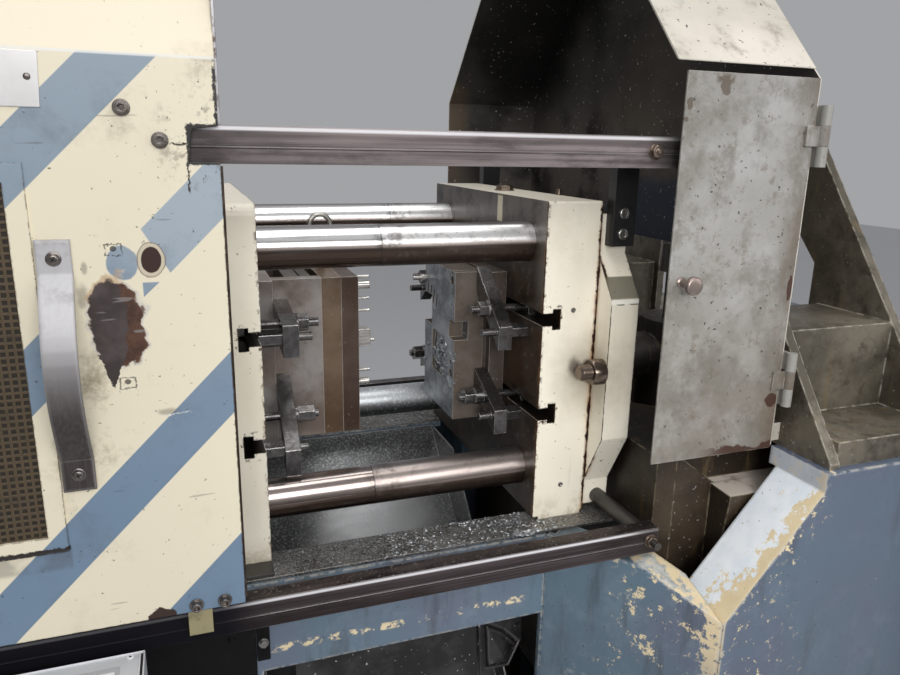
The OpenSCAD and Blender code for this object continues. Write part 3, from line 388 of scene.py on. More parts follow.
        bare = f.blend(f.ramp(f.noise(0.05, 5), 0.42, 0.56), [0.038, 0.026, 0.024], [0.070, 0.053, 0.050])
        shifted = f.sum("ADD", f.x, f.times(f.sum("SUBTRACT", f.noise(0.03, 5, 0.65), 0.5), 0.034))
        red = f.blend(f.ramp(f.noise(0.018, 5, 0.7), 0.40, 0.62), [0.050, 0.018, 0.009], [0.095, 0.040, 0.020])
        bare = f.blend(f.ramp(shifted, -0.1700, -0.1675), bare, red)
        scraped = f.ramp(f.noise(0.010, 2, 0.5, (0.15, 1, 1.0), 9.0), 0.66, 0.69)
        bare = f.blend(f.times(scraped, 0.5), bare, [0.30, 0.28, 0.27])
        tan = f.times(f.ramp(f.x, -0.160, -0.175), f.ramp(f.z, 1.325, 1.335))
        tone = f.blend(f.times(ring, 0.7), tone, f.blend(tan, [0.60, 0.57, 0.53], [0.50, 0.33, 0.17]))
        rim = f.spot((-0.1765, -0.438, 1.304), (0.0303, 0.1, 0.0480), 0.55, 0.028, 0.03)
        tone = f.blend(f.times(rim, 0.7), tone, [0.20, 0.11, 0.06])
        tone = f.blend(patch, tone, bare)
        ring = f.spot((-0.1365, -0.438, 1.3728), (0.0150, 0.1, 0.0195), 0.15, 0.02, 0.04)
        inner = f.spot((-0.1365, -0.438, 1.3728), (0.0138, 0.1, 0.0182), 0.15, 0.02, 0.04)
        hole = f.spot((-0.1365, -0.438, 1.3728), (0.0105, 0.1, 0.0145), 0.15, 0.02, 0.04)
        tone = f.blend(f.times(ring, 0.8), tone, [0.20, 0.15, 0.11])
        tone = f.blend(f.times(inner, 0.9), tone, [0.66, 0.58, 0.44])
        tone = f.blend(hole, tone, [0.036, 0.014, 0.010])
        torn = f.sum("ADD", f.z, f.times(f.sum("SUBTRACT", f.noise(0.011, 5, 0.7), 0.5), 0.016))
        arch = f.sum("ABSOLUTE", f.sum("ADD", f.x, 0.1575))
        low_rust = f.times(f.ramp(f.sum("ADD", torn, f.times(arch, 0.55)), 0.9425, 0.9415), f.ramp(arch, 0.0170, 0.0160))
        tone = f.blend(low_rust, tone, [0.040, 0.018, 0.013])
        shade = f.times(f.between(f.z, 1.0150, 1.0385, 0.004), f.ramp(f.x, -0.246, -0.250), f.ramp(f.noise(0.05), 0.30, 0.50))
        tone = f.blend(f.times(shade, 0.45), tone, [0.085, 0.090, 0.10])
        rough = f.sum("ADD", 0.38, f.times(patch, 0.2))
    return f.finish(tone, rough, f.noise(0.02, 4), 0.06, 0.002)


def blue_paint(name, c):
    """Chipped blue paint of the base, with primer at its edges and dirt that runs down"""
    f = Finish(name)
    edge = f.edges(0.007)
    tone = f.blend(f.ramp(f.noise(0.35, 4, 0.6), 0.40, 0.62), c.blue, [0.130, 0.155, 0.215])
    tone = f.blend(f.times(f.ramp(f.noise(0.06, 6, 0.7), 0.48, 0.72), 0.45), tone, [0.21, 0.27, 0.33])
    runs = f.ramp(f.noise(0.045, 5, 0.65, (1, 1, 0.16)), 0.50, 0.72)
    tone = f.blend(f.times(runs, 0.65), tone, [0.050, 0.056, 0.060])
    tone = f.blend(f.times(f.ramp(f.x, 0.60, 0.64), 0.38), tone, [0.065, 0.080, 0.125])
    # painted shade: darker towards the far right end of the base
    tone = f.blend(f.times(f.ramp(f.x, 0.90, 1.05), 0.5), tone, [0.045, 0.060, 0.100])
    front = f.facing("Y", -1)
    top = f.facing("Z", 1)
    flange = f.times(f.between(f.x, 0.535, 0.785, 0.004), f.ramp(f.z, 0.790, 0.800), f.ramp(f.y, 0.0, -0.40))
    flat = f.add("ShaderNodeNewGeometry")["True Normal"]
    rise = f.ramp(f.add("ShaderNodeSeparateXYZ", Vector=flat)["Z"], 0.15, 0.25)
    left_arm = f.times(flange, rise, f.ramp(f.x, 0.614, 0.610))
    slope = f.times(flange, rise, f.without(top), f.ramp(f.x, 0.610, 0.614))
    lip = f.times(flange, f.facing("X", -1), f.ramp(f.z, 0.93, 0.94))
    slope = f.most(slope, f.times(lip, 0.6))
    pale = f.blend(f.ramp(f.noise(0.03, 5), 0.35, 0.65), c.pale_blue, [0.90, 0.94, 0.98])
    tone = f.blend(slope, tone, pale)
    bits = f.noise(0.020, 6, 0.72)
    rim = f.ramp(f.y, -0.505, -0.552)
    vertex = f.spot((0.612, -0.54, 0.815), (0.085, 0.06, 0.075), 0.5, 0.05, 0.4)
    bare = f.ramp(f.sum("ADD", bits, f.sum("ADD", f.times(rim, 0.20), f.times(vertex, 0.10))), 0.62, 0.65)
    yellow = f.blend(f.noise(0.03), c.primer, [0.84, 0.72, 0.48])
    worn_arm = f.blend(f.ramp(f.noise(0.035, 5, 0.7), 0.38, 0.60), [0.30, 0.33, 0.34], [0.60, 0.60, 0.56])
    worn_arm = f.blend(f.ramp(f.sum("ADD", bits, f.times(f.ramp(f.x, 0.54, 0.60), 0.12)), 0.53, 0.58), worn_arm, yellow)
    tone = f.blend(left_arm, tone, worn_arm)
    tone = f.blend(f.times(slope, bare), tone, yellow)
    loss = f.ramp(f.sum("ADD", bits, f.times(edge, 0.17)), 0.70, 0.73)
    along = f.sum("SUBTRACT", f.z, f.times(f.sum("SUBTRACT", f.x, 0.612), 1.18))
    below = f.times(f.ramp(along, 0.70, 0.80), f.between(f.x, 0.500, 0.800, 0.03), f.ramp(f.y, -0.30, -0.33))
    loss = f.most(loss, f.times(f.ramp(f.sum("ADD", bits, f.times(below, 0.10)), 0.675, 0.705), below))
    corner = f.times(f.between(f.x, 0.582, 0.614, 0.003), f.ramp(f.y, -0.50, -0.53), f.ramp(f.z, 0.62, 0.80))
    torn = f.sum("ADD", f.times(f.ramp(f.x, 0.585, 0.606), 0.16), bits)
    loss = f.most(loss, f.times(corner, f.ramp(torn, 0.56, 0.60)))
    beside = f.spot((0.665, -0.556, 0.70), (0.075, 0.05, 0.16), 0.5, 0.05, 0.8)
    loss = f.most(loss, f.times(beside, f.ramp(f.noise(0.012, 6, 0.75), 0.600, 0.625)))
    beam = f.times(f.between(f.z, 0.7495, 0.762, 0.002), f.between(f.x, -0.02, 0.40, 0.01), f.ramp(bits, 0.52, 0.56))
    loss = f.most(loss, f.times(beam, front))
    tone = f.blend(f.times(loss, f.without(f.most(slope, left_arm))), tone, yellow)
    streak = f.times(
        f.between(f.y, -0.345, -0.312, 0.002), f.between(f.x, 0.492, 0.516, 0.006), f.between(f.z, 0.60, 0.73, 0.02)
    )
    tone = f.blend(f.times(streak, f.ramp(f.noise(0.02), 0.42, 0.5)), tone, [0.40, 0.27, 0.10])
    splash = f.times(f.spot((0.500, -0.33, 0.61), (0.03, 0.05, 0.05), 0.6, 0.03, 0.3), f.ramp(f.noise(0.01, 4), 0.48, 0.56))
    tone = f.blend(f.times(splash, 0.8), tone, [0.62, 0.62, 0.62])
    oily = f.times(top, f.without(left_arm), f.ramp(f.noise(0.03, 6, 0.7), 0.40, 0.60), f.ramp(f.z, 0.90, 0.88))
    tone = f.blend(f.times(oily, 0.7), tone, [0.085, 0.090, 0.085])
    shade = f.times(f.ramp(f.z, 0.845, 0.872), front, f.ramp(f.y, -0.32, -0.31), f.ramp(f.noise(0.03, 5), 0.40, 0.60))
    tone = f.blend(f.times(shade, 0.6), tone, [0.040, 0.040, 0.040])
    specks = f.ramp(f.noise(0.006, 2, 0.5, shift=2.0), 0.71, 0.74)
    tone = f.blend(f.times(specks, 0.7), tone, [0.03, 0.03, 0.03])
    bright = f.times(edge, f.ramp(f.noise(0.010, 4), 0.40, 0.55), 0.75)
    tone = f.blend(bright, tone, [0.66, 0.64, 0.60])
    return f.finish(tone, 0.40, f.noise(0.012, 5), 0.20, 0.002)


def bare_steel(name, tone, c, grain=(0.06, 1, 1), rough=0.32, stain=0.5, edge_width=0.0015, metallic=0.85):
    """Bare steel with grain along one axis, oily stains and bright edges"""
    f = Finish(name, metallic)
    edge = f.edges(edge_width)
    lines = f.noise(0.004, 4, 0.6, grain)
    shade = f.blend(f.ramp(lines, 0.35, 0.65), [k * 0.75 for k in tone], [min(1.0, k * 1.2) for k in tone])
    clouds = f.ramp(f.noise(0.04, 6, 0.7), 0.45, 0.68)
    shade = f.blend(f.times(clouds, stain), shade, [0.075, 0.055, 0.040])
    shade = f.blend(f.times(edge, 0.7), shade, [0.80, 0.78, 0.76])
    gloss = f.sum("ADD", rough, f.times(clouds, 0.22))
    return f.finish(shade, gloss, lines, 0.12, 0.0005)


def tie_bar(name, c, ring, specks=0.0, chrome=None, metallic=0.8):
    """Polished bar, with a painted reflection that is dark brown on its lower half and a painted highlight band below
    its middle, and duller beyond the mark of the stroke
    """
    f = Finish(name, metallic)
    chrome = list(chrome or c.bar)
    # painted reflection: the tone follows how far the normal looks up, dark brown below and chrome above
    flat = f.add("ShaderNodeNewGeometry")["Normal"]
    up = f.add("ShaderNodeSeparateXYZ", Vector=flat)["Z"]
    up = f.sum("ADD", up, f.times(f.sum("SUBTRACT", f.noise(0.05, 3, 0.5, (0.12, 1, 1)), 0.5), 0.22))
    tone = f.blend(f.ramp(up, -0.10, 0.40), [0.075, 0.050, 0.038], chrome)
    # painted highlight: a pale band just below the middle of the bar
    tone = f.blend(f.times(f.between(up, 0.03, 0.14, 0.03), 0.7), tone, [0.62, 0.50, 0.44])
    # painted reflection: greyer along the very top of the bar
    tone = f.blend(f.times(f.ramp(up, 0.84, 0.98), 0.8), tone, [0.26, 0.24, 0.235])
    worn = f.ramp(f.x, ring - 0.0005, ring + 0.0005)
    scratches = f.ramp(f.noise(0.012, 3, 0.5, (0.06, 1, 1)), 0.56, 0.66)
    tone = f.blend(f.times(scratches, 0.25), tone, [0.20, 0.17, 0.15])
    dull = f.times(worn, f.ramp(f.noise(0.016, 6, 0.75), 0.50, 0.70))
    tone = f.blend(f.times(dull, 0.50), tone, [0.22, 0.175, 0.15])
    dots = f.times(worn, f.ramp(f.noise(0.0045, 3, 0.6), 0.66, 0.72))
    tone = f.blend(f.times(dots, 0.7), tone, [0.06, 0.045, 0.04])
    smear = f.times(f.between(f.sum("SUBTRACT", f.x, ring), -0.010, 0.040, 0.012), f.ramp(f.noise(0.02, 5, 0.7), 0.44, 0.62))
    tone = f.blend(f.times(smear, 0.6), tone, [0.07, 0.052, 0.042])
    line = f.between(f.sum("SUBTRACT", f.x, ring), -0.0010, 0.0010, 0.0006)
    tone = f.blend(f.times(line, 0.6), tone, [0.05, 0.045, 0.04])
    rough = f.sum("ADD", 0.17, f.times(worn, 0.13))
    if specks:
        # painted light and shade: the speckled cast and its dots are pale on top and dark below
        cast = f.blend(f.ramp(up, -0.45, 0.55), [0.07, 0.075, 0.075], [0.60, 0.63, 0.65])
        tone = f.blend(specks, tone, cast)
        dots = f.ramp(f.noise(0.006, 4, 0.75, shift=3.0), 0.54, 0.62)
        tone = f.blend(f.times(dots, specks), tone, f.blend(f.ramp(up, -0.5, 0.3), [0.25, 0.27, 0.27], [0.90, 0.92, 0.94]))
        rough = f.sum("ADD", rough, 0.25)
    return f.finish(tone, rough, f.noise(0.006, 3, 0.5, (0.4, 1, 1)), 0.06, 0.0005)


def die_plate(name, tone, c, blue=0.0, shine=0.35):
    """Ground die plate, browned by heat, with oily stains and worn bright edges"""
    f = Finish(name, shine)
    edge = f.edges(0.0012)
    base = f.blend(f.ramp(f.noise(0.09, 4), 0.38, 0.66), tone, [tone[0] * 0.60, tone[1] * 0.50, tone[2] * 0.44])
    base = f.blend(f.times(f.ramp(f.noise(0.05, 6, 0.7, shift=4.0), 0.50, 0.72), 0.55), base, [0.085, 0.060, 0.045])
    base = f.blend(f.times(f.ramp(f.noise(0.014, 5, 0.7), 0.60, 0.72), 0.6), base, [0.045, 0.032, 0.025])
    if blue:
        face = low("cover_face").x
        parting = f.facing("X", -1)
        steel = f.blend(f.ramp(f.noise(0.04, 5, 0.7), 0.36, 0.64), [0.15, 0.17, 0.20], [0.42, 0.46, 0.50])
        base = f.blend(f.times(parting, blue), base, steel)
        # painted shade on the recessed parts of the parting face
        hollow_shade = f.times(f.ramp(f.x, face + 0.0008, face + 0.004), f.ramp(f.x, 0.368, 0.366))
        base = f.blend(f.times(hollow_shade, parting), base, [0.020, 0.020, 0.024])
        zinc = f.times(f.spot((face, -0.045, 1.135), (0.03, 0.06, 0.05), 0.8, 0.02, 0.2), parting)
        base = f.blend(f.times(zinc, 0.7), base, [0.50, 0.53, 0.56])
    spark = f.ramp(f.noise(0.006, 3), 0.68, 0.73)
    base = f.blend(f.times(spark, 0.4), base, [0.60, 0.58, 0.55])
    base = f.blend(f.times(edge, 0.9), base, [0.86, 0.80, 0.72])
    rough = f.sum("ADD", 0.27, f.times(f.noise(0.03, 5), 0.18))
    return f.finish(base, rough, f.noise(0.004, 5), 0.10, 0.0008)


def hood_door_paint(name, c):
    """Grey spotted sheet with rust along its lower edge"""
    f = Finish(name)
    edge = f.edges(0.002)
    tone = f.blend(f.ramp(f.noise(0.16, 4, 0.6), 0.40, 0.70), c.hood, [0.40, 0.395, 0.38])
    tone = f.blend(f.times(f.ramp(f.noise(0.045, 6, 0.7), 0.46, 0.68), 0.7), tone, [0.17, 0.155, 0.13])
    tone = f.blend(f.times(f.ramp(f.noise(0.018, 6, 0.7, shift=2.0), 0.54, 0.68), 0.55), tone, [0.13, 0.095, 0.06])
    dots = f.ramp(f.noise(0.0075, 2, 0.5), 0.69, 0.73)
    tone = f.blend(dots, tone, [0.03, 0.027, 0.025])
    lower = f.times(f.ramp(f.z, 1.34, 1.12), f.ramp(f.noise(0.10, 5, 0.65), 0.28, 0.62))
    tone = f.blend(f.times(lower, 0.62), tone, [0.145, 0.115, 0.085])
    brown = f.times(f.ramp(f.x, 0.700, 0.742), f.ramp(f.noise(0.06, 5, 0.7, (1, 1, 0.3)), 0.36, 0.58))
    tone = f.blend(f.times(brown, 0.65), tone, [0.105, 0.065, 0.035])
    middle = f.spot((0.63, -0.46, 1.40), (0.085, 0.1, 0.17), 0.45, 0.07, 0.5)
    tone = f.blend(f.times(f.without(middle), f.ramp(f.noise(0.07, 6, 0.7, shift=6.0), 0.40, 0.62), 0.6), tone, [0.135, 0.122, 0.095])
    top = f.spot((0.5880, -0.46, 1.584), (0.0085, 0.1, 0.012), 1.3, 0.012)
    top = f.most(top, f.times(f.between(f.z, 1.588, 1.598, 0.003), f.between(f.x, 0.572, 0.600, 0.004), f.ramp(f.noise(0.008, 4), 0.44, 0.5)))
    left = f.spot((0.533, -0.46, 1.5600), (0.0040, 0.1, 0.009), 1.2, 0.012)
    pits = f.spot((0.529, -0.46, 1.540), (0.003, 0.1, 0.003), 0.8, 0.02)
    tone = f.blend(f.times(f.most(top, left, pits), 0.85), tone, [0.100, 0.072, 0.048])
    reach = f.sum("ADD", f.z, f.times(f.sum("SUBTRACT", f.noise(0.03, 5), 0.5), 0.05))
    rusty = f.times(f.ramp(reach, 1.065, 1.061), f.ramp(f.x, 0.60, 0.66))
    tone = f.blend(rusty, tone, [0.050, 0.020, 0.011])
    corner = f.spot((0.736, -0.46, 1.130), (0.014, 0.1, 0.010), 0.75, 0.02)
    corner = f.most(corner, f.spot((0.7415, -0.46, 1.305), (0.005, 0.1, 0.018), 0.8, 0.02))
    tone = f.blend(corner, tone, [0.052, 0.021, 0.011])
    tone = f.blend(f.times(edge, f.ramp(f.noise(0.02), 0.4, 0.6)), tone, [0.50, 0.47, 0.42])
    return f.finish(tone, 0.52, f.noise(0.008, 5), 0.25, 0.001)


def hood_sheet_paint(name, c):
    """Hood: cream grey outside, and soot with ochre stains inside"""
    f = Finish(name)
    edge = f.edges(0.002)
    tone = f.blend(f.ramp(f.noise(0.20, 4), 0.38, 0.62), [0.66, 0.61, 0.53], [0.52, 0.48, 0.41])
    tone = f.blend(f.times(f.ramp(f.noise(0.05, 6, 0.7), 0.52, 0.74), 0.7), tone, [0.19, 0.165, 0.12])
    dots = f.ramp(f.noise(0.007, 2, 0.5), 0.69, 0.73)
    tone = f.blend(dots, tone, [0.05, 0.045, 0.04])
    shape = f.add("ShaderNodeNewGeometry")["True Normal"]
    out = f.add("ShaderNodeVectorMath", {"operation": "SUBTRACT"}, _0=f.place, _1=(0.64, 0.0, 1.40))[0]
    out = f.add("ShaderNodeVectorMath", {"operation": "MULTIPLY"}, _0=out, _1=(1.0, 1.0, 1.0))[0]
    inward = f.add("ShaderNodeVectorMath", {"operation": "DOT_PRODUCT"}, _0=shape, _1=out)["Value"]
    inward = f.ramp(inward, 0.0, -0.002)
    soot = f.blend(f.ramp(f.noise(0.25, 4), 0.40, 0.66), c.soot, [0.045, 0.043, 0.040])
    low_wall = f.times(f.ramp(f.z, 1.66, 1.50), f.ramp(f.noise(0.12, 5), 0.35, 0.55))
    soot = f.blend(f.times(low_wall, 0.8), soot, [0.13, 0.110, 0.095])
    ochre = f.spot((0.75, -0.05, 1.60), (0.1, 0.16, 0.16), 0.7, 0.06, 0.7)
    soot = f.blend(f.times(ochre, 0.30), soot, [0.10, 0.075, 0.045])
    rim = f.spot((0.53, 0.45, 1.55), (0.04, 0.05, 0.16), 0.7, 0.04, 0.5)
    soot = f.blend(f.times(rim, 0.6), soot, [0.15, 0.10, 0.055])
    low_edge = f.spot((0.753, -0.10, 1.36), (0.03, 0.20, 0.085), 0.35, 0.05, 0.2)
    soot = f.blend(f.times(low_edge, 0.9), soot, [0.034, 0.045, 0.070])
    specks = f.ramp(f.noise(0.0065, 2, 0.5, shift=1.0), 0.70, 0.73)
    soot = f.blend(specks, soot, [0.45, 0.45, 0.45])
    tone = f.blend(inward, tone, soot)
    tone = f.blend(f.times(edge, f.without(inward), 0.6), tone, [0.60, 0.57, 0.50])
    return f.finish(tone, f.sum("ADD", 0.45, f.times(inward, 0.2)), f.noise(0.010, 5), 0.22, 0.001)


def sooty_iron(name, c, base, light, edge_tone=(0.40, 0.37, 0.30), edge_share=0.6, lit_top=None):
    """Sooty, oily iron with lighter places and worn edges; lit_top is the tone of the painted light on upper faces,
    which also puts painted shade on faces that look to -X
    """
    f = Finish(name, 0.25)
    edge = f.edges(0.004)
    tone = f.blend(f.ramp(f.noise(0.16, 5, 0.65), 0.38, 0.66), base, light)
    tone = f.blend(f.times(f.ramp(f.noise(0.035, 6, 0.7), 0.48, 0.70), 0.75), tone, c.grime)
    runs = f.ramp(f.noise(0.03, 5, 0.6, (1, 1, 0.15)), 0.55, 0.72)
    tone = f.blend(f.times(runs, 0.5), tone, [0.20, 0.135, 0.060])
    dots = f.ramp(f.noise(0.006, 2, 0.5), 0.70, 0.74)
    tone = f.blend(f.times(dots, 0.8), tone, [0.42, 0.42, 0.41])
    if lit_top:
        # painted light: upper faces below the lid's height are lighter
        upper = f.times(f.facing("Z", 1), f.ramp(f.noise(0.07, 5, 0.6), 0.22, 0.45), f.ramp(f.z, LIT_TOP_HIGH + 0.002, LIT_TOP_HIGH))
        tone = f.blend(f.times(upper, 0.95), tone, lit_top)
        # painted shade on the faces that look to -X
        tone = f.blend(f.times(f.facing("X", -1), 0.5), tone, [k * 0.35 for k in base])
    worn = f.times(edge, f.ramp(f.noise(0.02, 5), 0.38, 0.58), edge_share)
    tone = f.blend(worn, tone, edge_tone)
    return f.finish(tone, f.sum("ADD", 0.34, f.times(f.noise(0.05, 5), 0.28)), f.noise(0.01, 6), 0.30, 0.002)


def handle_steel(name):
    """Satin pull handle, with painted light: bright above and dark brown below"""
    f = Finish(name, 0.25)
    edge = f.edges(0.0060)
    # painted light and shade: the tone runs from dark brown at the bottom to bright at the top
    tone = f.blend(f.ramp(f.z, 1.195, 1.352), [0.045, 0.034, 0.032], [0.56, 0.55, 0.56])
    brushed = f.noise(0.003, 3, 0.5, (1, 1, 0.03))
    tone = f.blend(f.times(f.ramp(brushed, 0.40, 0.62), 0.08), tone, [0.30, 0.28, 0.27])
    tone = f.blend(f.times(f.ramp(f.noise(0.03, 5, 0.65), 0.50, 0.72), 0.4), tone, [0.115, 0.090, 0.080])
    # painted highlight along the edges
    tone = f.blend(f.times(f.ramp(edge, 0.5, 1.0), 0.40), tone, [0.75, 0.72, 0.70])
    return f.finish(tone, 0.44, brushed, 0.03, 0.0004)


def rail_steel(name, tone, foot, edge_highlight, dark_left):
    """Folded steel rail with a painted highlight along its upper edge, a dark line along it and an oily top"""
    f = Finish(name, 0.5)
    edge = f.edges(0.0015)
    hidden = f.times(f.ramp(f.x, -0.02, -0.09), dark_left)
    f.feed(f.shader.inputs["Metallic"], f.times(f.without(hidden), 0.5))
    f.shader.inputs["Specular IOR Level"].default_value = 0.04
    grain = f.noise(0.008, 5, 0.6, (0.02, 1, 1))
    shade = f.blend(f.ramp(grain, 0.40, 0.62), [k * 0.62 for k in tone], [k * 1.18 for k in tone])
    shade = f.blend(f.times(f.ramp(f.x, 0.16, -0.12), 0.55), shade, [k * 0.35 for k in tone])
    shade = f.blend(f.times(f.ramp(f.noise(0.06, 6, 0.7, (0.3, 1, 1)), 0.48, 0.70), 0.6), shade, [0.022, 0.016, 0.015])
    middle = f.times(f.between(f.z, foot + 0.0165, foot + 0.0180, 0.0007), f.ramp(f.noise(0.03, 3, 0.5, (0.2, 1, 1)), 0.30, 0.45))
    shade = f.blend(f.times(middle, 0.85), shade, [0.010, 0.008, 0.008])
    # painted highlight: a bright line along the rounded upper edge of the front face
    high_line = f.between(f.z, foot + 0.0365, foot + 0.0405, 0.0012)
    shade = f.blend(f.times(high_line, edge_highlight), shade, [0.95, 0.93, 0.95])
    far = f.times(f.ramp(f.x, 0.50, 0.57), 0.8)
    shade = f.blend(far, shade, [0.040, 0.035, 0.036])
    top = f.blend(f.ramp(f.noise(0.03, 5, 0.6, (0.2, 1, 1)), 0.40, 0.62), [0.024, 0.018, 0.017], [0.085, 0.068, 0.064])
    top = f.blend(f.times(f.ramp(f.noise(0.004, 4, 0.7), 0.58, 0.66), 0.6), top, [0.34, 0.32, 0.30])
    shade = f.blend(f.facing("Z", 1), shade, top)
    shade = f.blend(hidden, shade, [0.006, 0.006, 0.009])
    shade = f.blend(f.times(edge, f.without(hidden), 0.40), shade, [0.60, 0.57, 0.57])
    return f.finish(shade, f.sum("ADD", 0.30, f.times(hidden, 0.4)), grain, 0.05, 0.0005)


def dusty_sheet(name):
    """Black glossy sheet under zinc dust, with a painted sheen high up and painted highlights along its edges and its
    bend
    """
    f = Finish(name, 0.25)
    edge = f.edges(0.004)
    tone = f.blend(f.ramp(f.noise(0.10, 5, 0.6), 0.36, 0.66), [0.020, 0.019, 0.020], [0.085, 0.088, 0.090])
    dust = f.ramp(f.noise(0.0045, 4, 0.75), 0.50, 0.60)
    upper = f.ramp(f.z, 0.60, 0.68)
    sheen_spot = f.spot((0.245, 0.075, 0.722), (0.115, 0.075, 0.065), 0.35, 0.06, 0.7)
    # dust high on the sheet, and a painted sheen where the glossy sheet catches the light
    tone = f.blend(f.times(upper, f.sum("ADD", 0.12, f.times(sheen_spot, 0.80))), tone, [0.66, 0.665, 0.67])
    tone = f.blend(f.times(dust, upper, 0.55), tone, [0.50, 0.51, 0.51])
    tone = f.blend(f.times(f.ramp(f.noise(0.0065, 2), 0.69, 0.73), 0.8), tone, [0.75, 0.76, 0.78])
    # painted highlight along the edges and the bend
    tone = f.blend(f.times(edge, 0.8), tone, [0.80, 0.80, 0.82])
    return f.finish(tone, 0.26, f.noise(0.02, 5), 0.20, 0.002)


def way_steel(name):
    """Slideway covered with oily zinc crumbs"""
    f = Finish(name, 0.35)
    edge = f.edges(0.002)
    tone = f.blend(f.ramp(f.noise(0.05, 5, 0.6), 0.38, 0.64), [0.050, 0.044, 0.036], [0.175, 0.165, 0.150])
    clean = f.spot((0.375, -0.27, 0.871), (0.045, 0.05, 0.1), 0.5, 0.03, 0.3)
    tone = f.blend(f.times(clean, 0.8), tone, [0.075, 0.072, 0.070])
    dust = f.ramp(f.noise(0.0034, 5, 0.8), 0.48, 0.57)
    tone = f.blend(f.times(dust, 0.65), tone, [0.40, 0.395, 0.38])
    tone = f.blend(f.times(f.ramp(f.noise(0.004, 2), 0.66, 0.71), 0.9), tone, [0.85, 0.86, 0.86])
    tone = f.blend(f.times(edge, 0.5), tone, [0.55, 0.52, 0.48])
    return f.finish(tone, 0.35, f.noise(0.005, 5), 0.45, 0.002)


def plain(name, tone, rough, metallic=0.0, bump=0.1, size=0.006, dirt=0.4, dirt_tone=(0.05, 0.04, 0.03)):
    """One tone with fine grain and dirty clouds"""
    f = Finish(name, metallic)
    edge = f.edges(0.0012)
    shade = f.blend(f.times(f.noise(0.03, 4), 0.5), tone, [k * 0.6 for k in tone])
    shade = f.blend(f.times(f.ramp(f.noise(0.025, 6, 0.7), 0.50, 0.72), dirt), shade, dirt_tone)
    shade = f.blend(f.times(edge, 0.35), shade, [min(1.0, k * 1.5 + 0.05) for k in tone])
    return f.finish(shade, rough, f.noise(size, 4), bump, 0.0008)


def zinc_cast(name):
    """Bright splashed zinc"""
    f = Finish(name, 0.9)
    tone = f.blend(f.ramp(f.noise(0.012, 5, 0.7), 0.35, 0.65), [0.26, 0.28, 0.30], [0.72, 0.74, 0.76])
    return f.finish(tone, f.sum("ADD", 0.22, f.times(f.noise(0.008, 4), 0.3)), f.noise(0.005, 5), 0.5, 0.002)


# ---------------------------------------------------------------- shapes


def piece(name, mesh, material, body, smooth=None):
    """Adds a finished mesh to the scene, on one of the CAD bodies"""
    made = bpy.data.objects.new(name, mesh)
    bpy.context.scene.collection.objects.link(made)
    made.data.materials.append(material)
    if smooth is not None:
        made.data.shade_smooth()
        made.data.set_sharp_from_angle(angle=radians(smooth))
    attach(made, body)
    return made


def ring_points(kind, radius, segments):
    """Points of a ring: round, or hex with radius to its flats"""
    points = []
    for k in range(segments):
        turn = tau * k / segments
        out = radius
        if kind == "hex":
            out = radius / cos((turn % (pi / 3)) - pi / 6)
        points.append((out * cos(turn), out * sin(turn)))
    return points


def turned(bm, at, axis, profile, segments=24):
    """Rings along an axis from at: profile holds (kind, radius, distance); ends are closed"""
    axis = Vector(axis).normalized()
    side = axis.orthogonal().normalized()
    up = axis.cross(side)
    rings = []
    for kind, radius, along in profile:
        rings.append(
            [
                bm.verts.new(Vector(at) + axis * along + side * a + up * b)
                for a, b in ring_points(kind, max(radius, 1e-5), segments)
            ]
        )
    for lower, upper in zip(rings, rings[1:]):
        for k in range(segments):
            n = (k + 1) % segments
            bm.faces.new((lower[k], lower[n], upper[n], upper[k]))
    bm.faces.new(list(reversed(rings[0])))
    bm.faces.new(rings[-1])


def finished(bm, name):
    bmesh.ops.recalc_face_normals(bm, faces=bm.faces)
    mesh = bpy.data.meshes.new(name)
    bm.to_mesh(mesh)
    bm.free()
    return mesh


def socket_screw(bm, at, axis, head, tall, washer=0.0, thick=0.002):
    """Socket screw on an optional washer; at is on the surface"""
    start = 0.0
    if washer:
        w = washer / 2
        turned(bm, at, axis, [("round", w, 0), ("round", w, thick * 0.7), ("round", w - 0.0006, thick)], 32)
        start = thick
    r = head / 2
    profile = [
        ("round", r, start),
        ("round", r, start + tall * 0.8),
        ("round", r * 0.88, start + tall),
        ("hex", r * 0.50, start + tall),
        ("hex", r * 0.48, start + tall * 0.45),
    ]
    turned(bm, at, axis, profile, 24)


def hex_nut(bm, at, axis, across, tall, stud=0.0, out=0.0, threads=6):
    """Chamfered nut with a threaded stud through it"""
    r = across / 2
    profile = [("round", r * 1.02, 0), ("hex", r, tall * 0.12), ("hex", r, tall * 0.86), ("round", r * 0.98, tall)]
    turned(bm, at, axis, profile, 24)
    if stud:
        s = stud / 2
        step = (out - 0.0015) / threads
        profile = [("round", s * 0.9, tall - 0.001)]
        for k in range(threads):
            profile.append(("round", s, tall + step * (k + 0.3)))
            profile.append(("round", s * 0.88, tall + step * (k + 0.8)))
        profile.append(("round", s * 0.75, tall + out))
        turned(bm, at, axis, profile, 24)


def dome(bm, at, axis, radius, tall, flat=0.25):
    """Rivet or button head"""
    profile = [("round", radius, 0.0)]
    for k in range(1, 6):
        turn = k / 5 * pi / 2
        profile.append(("round", radius * (flat + (1 - flat) * cos(turn)), tall * sin(turn)))
    turned(bm, at, axis, profile, 24)


def lump(bm, at, radius, rng, rough=0.45, squash=(1, 1, 1), detail=1):
    """Irregular crumb or splash"""
    start = len(bm.verts)
    made = bmesh.ops.create_icosphere(bm, subdivisions=detail, radius=1.0)
    seed = Vector((rng.random() * 50, rng.random() * 50, rng.random() * 50))
    for v in made["verts"]:
        n = 1.0 + rough * noise.noise(v.co * 1.7 + seed) * 2
        v.co = Vector(at) + Vector((v.co.x * squash[0], v.co.y * squash[1], v.co.z * squash[2])) * radius * n
    return start


# ---------------------------------------------------------------- operators


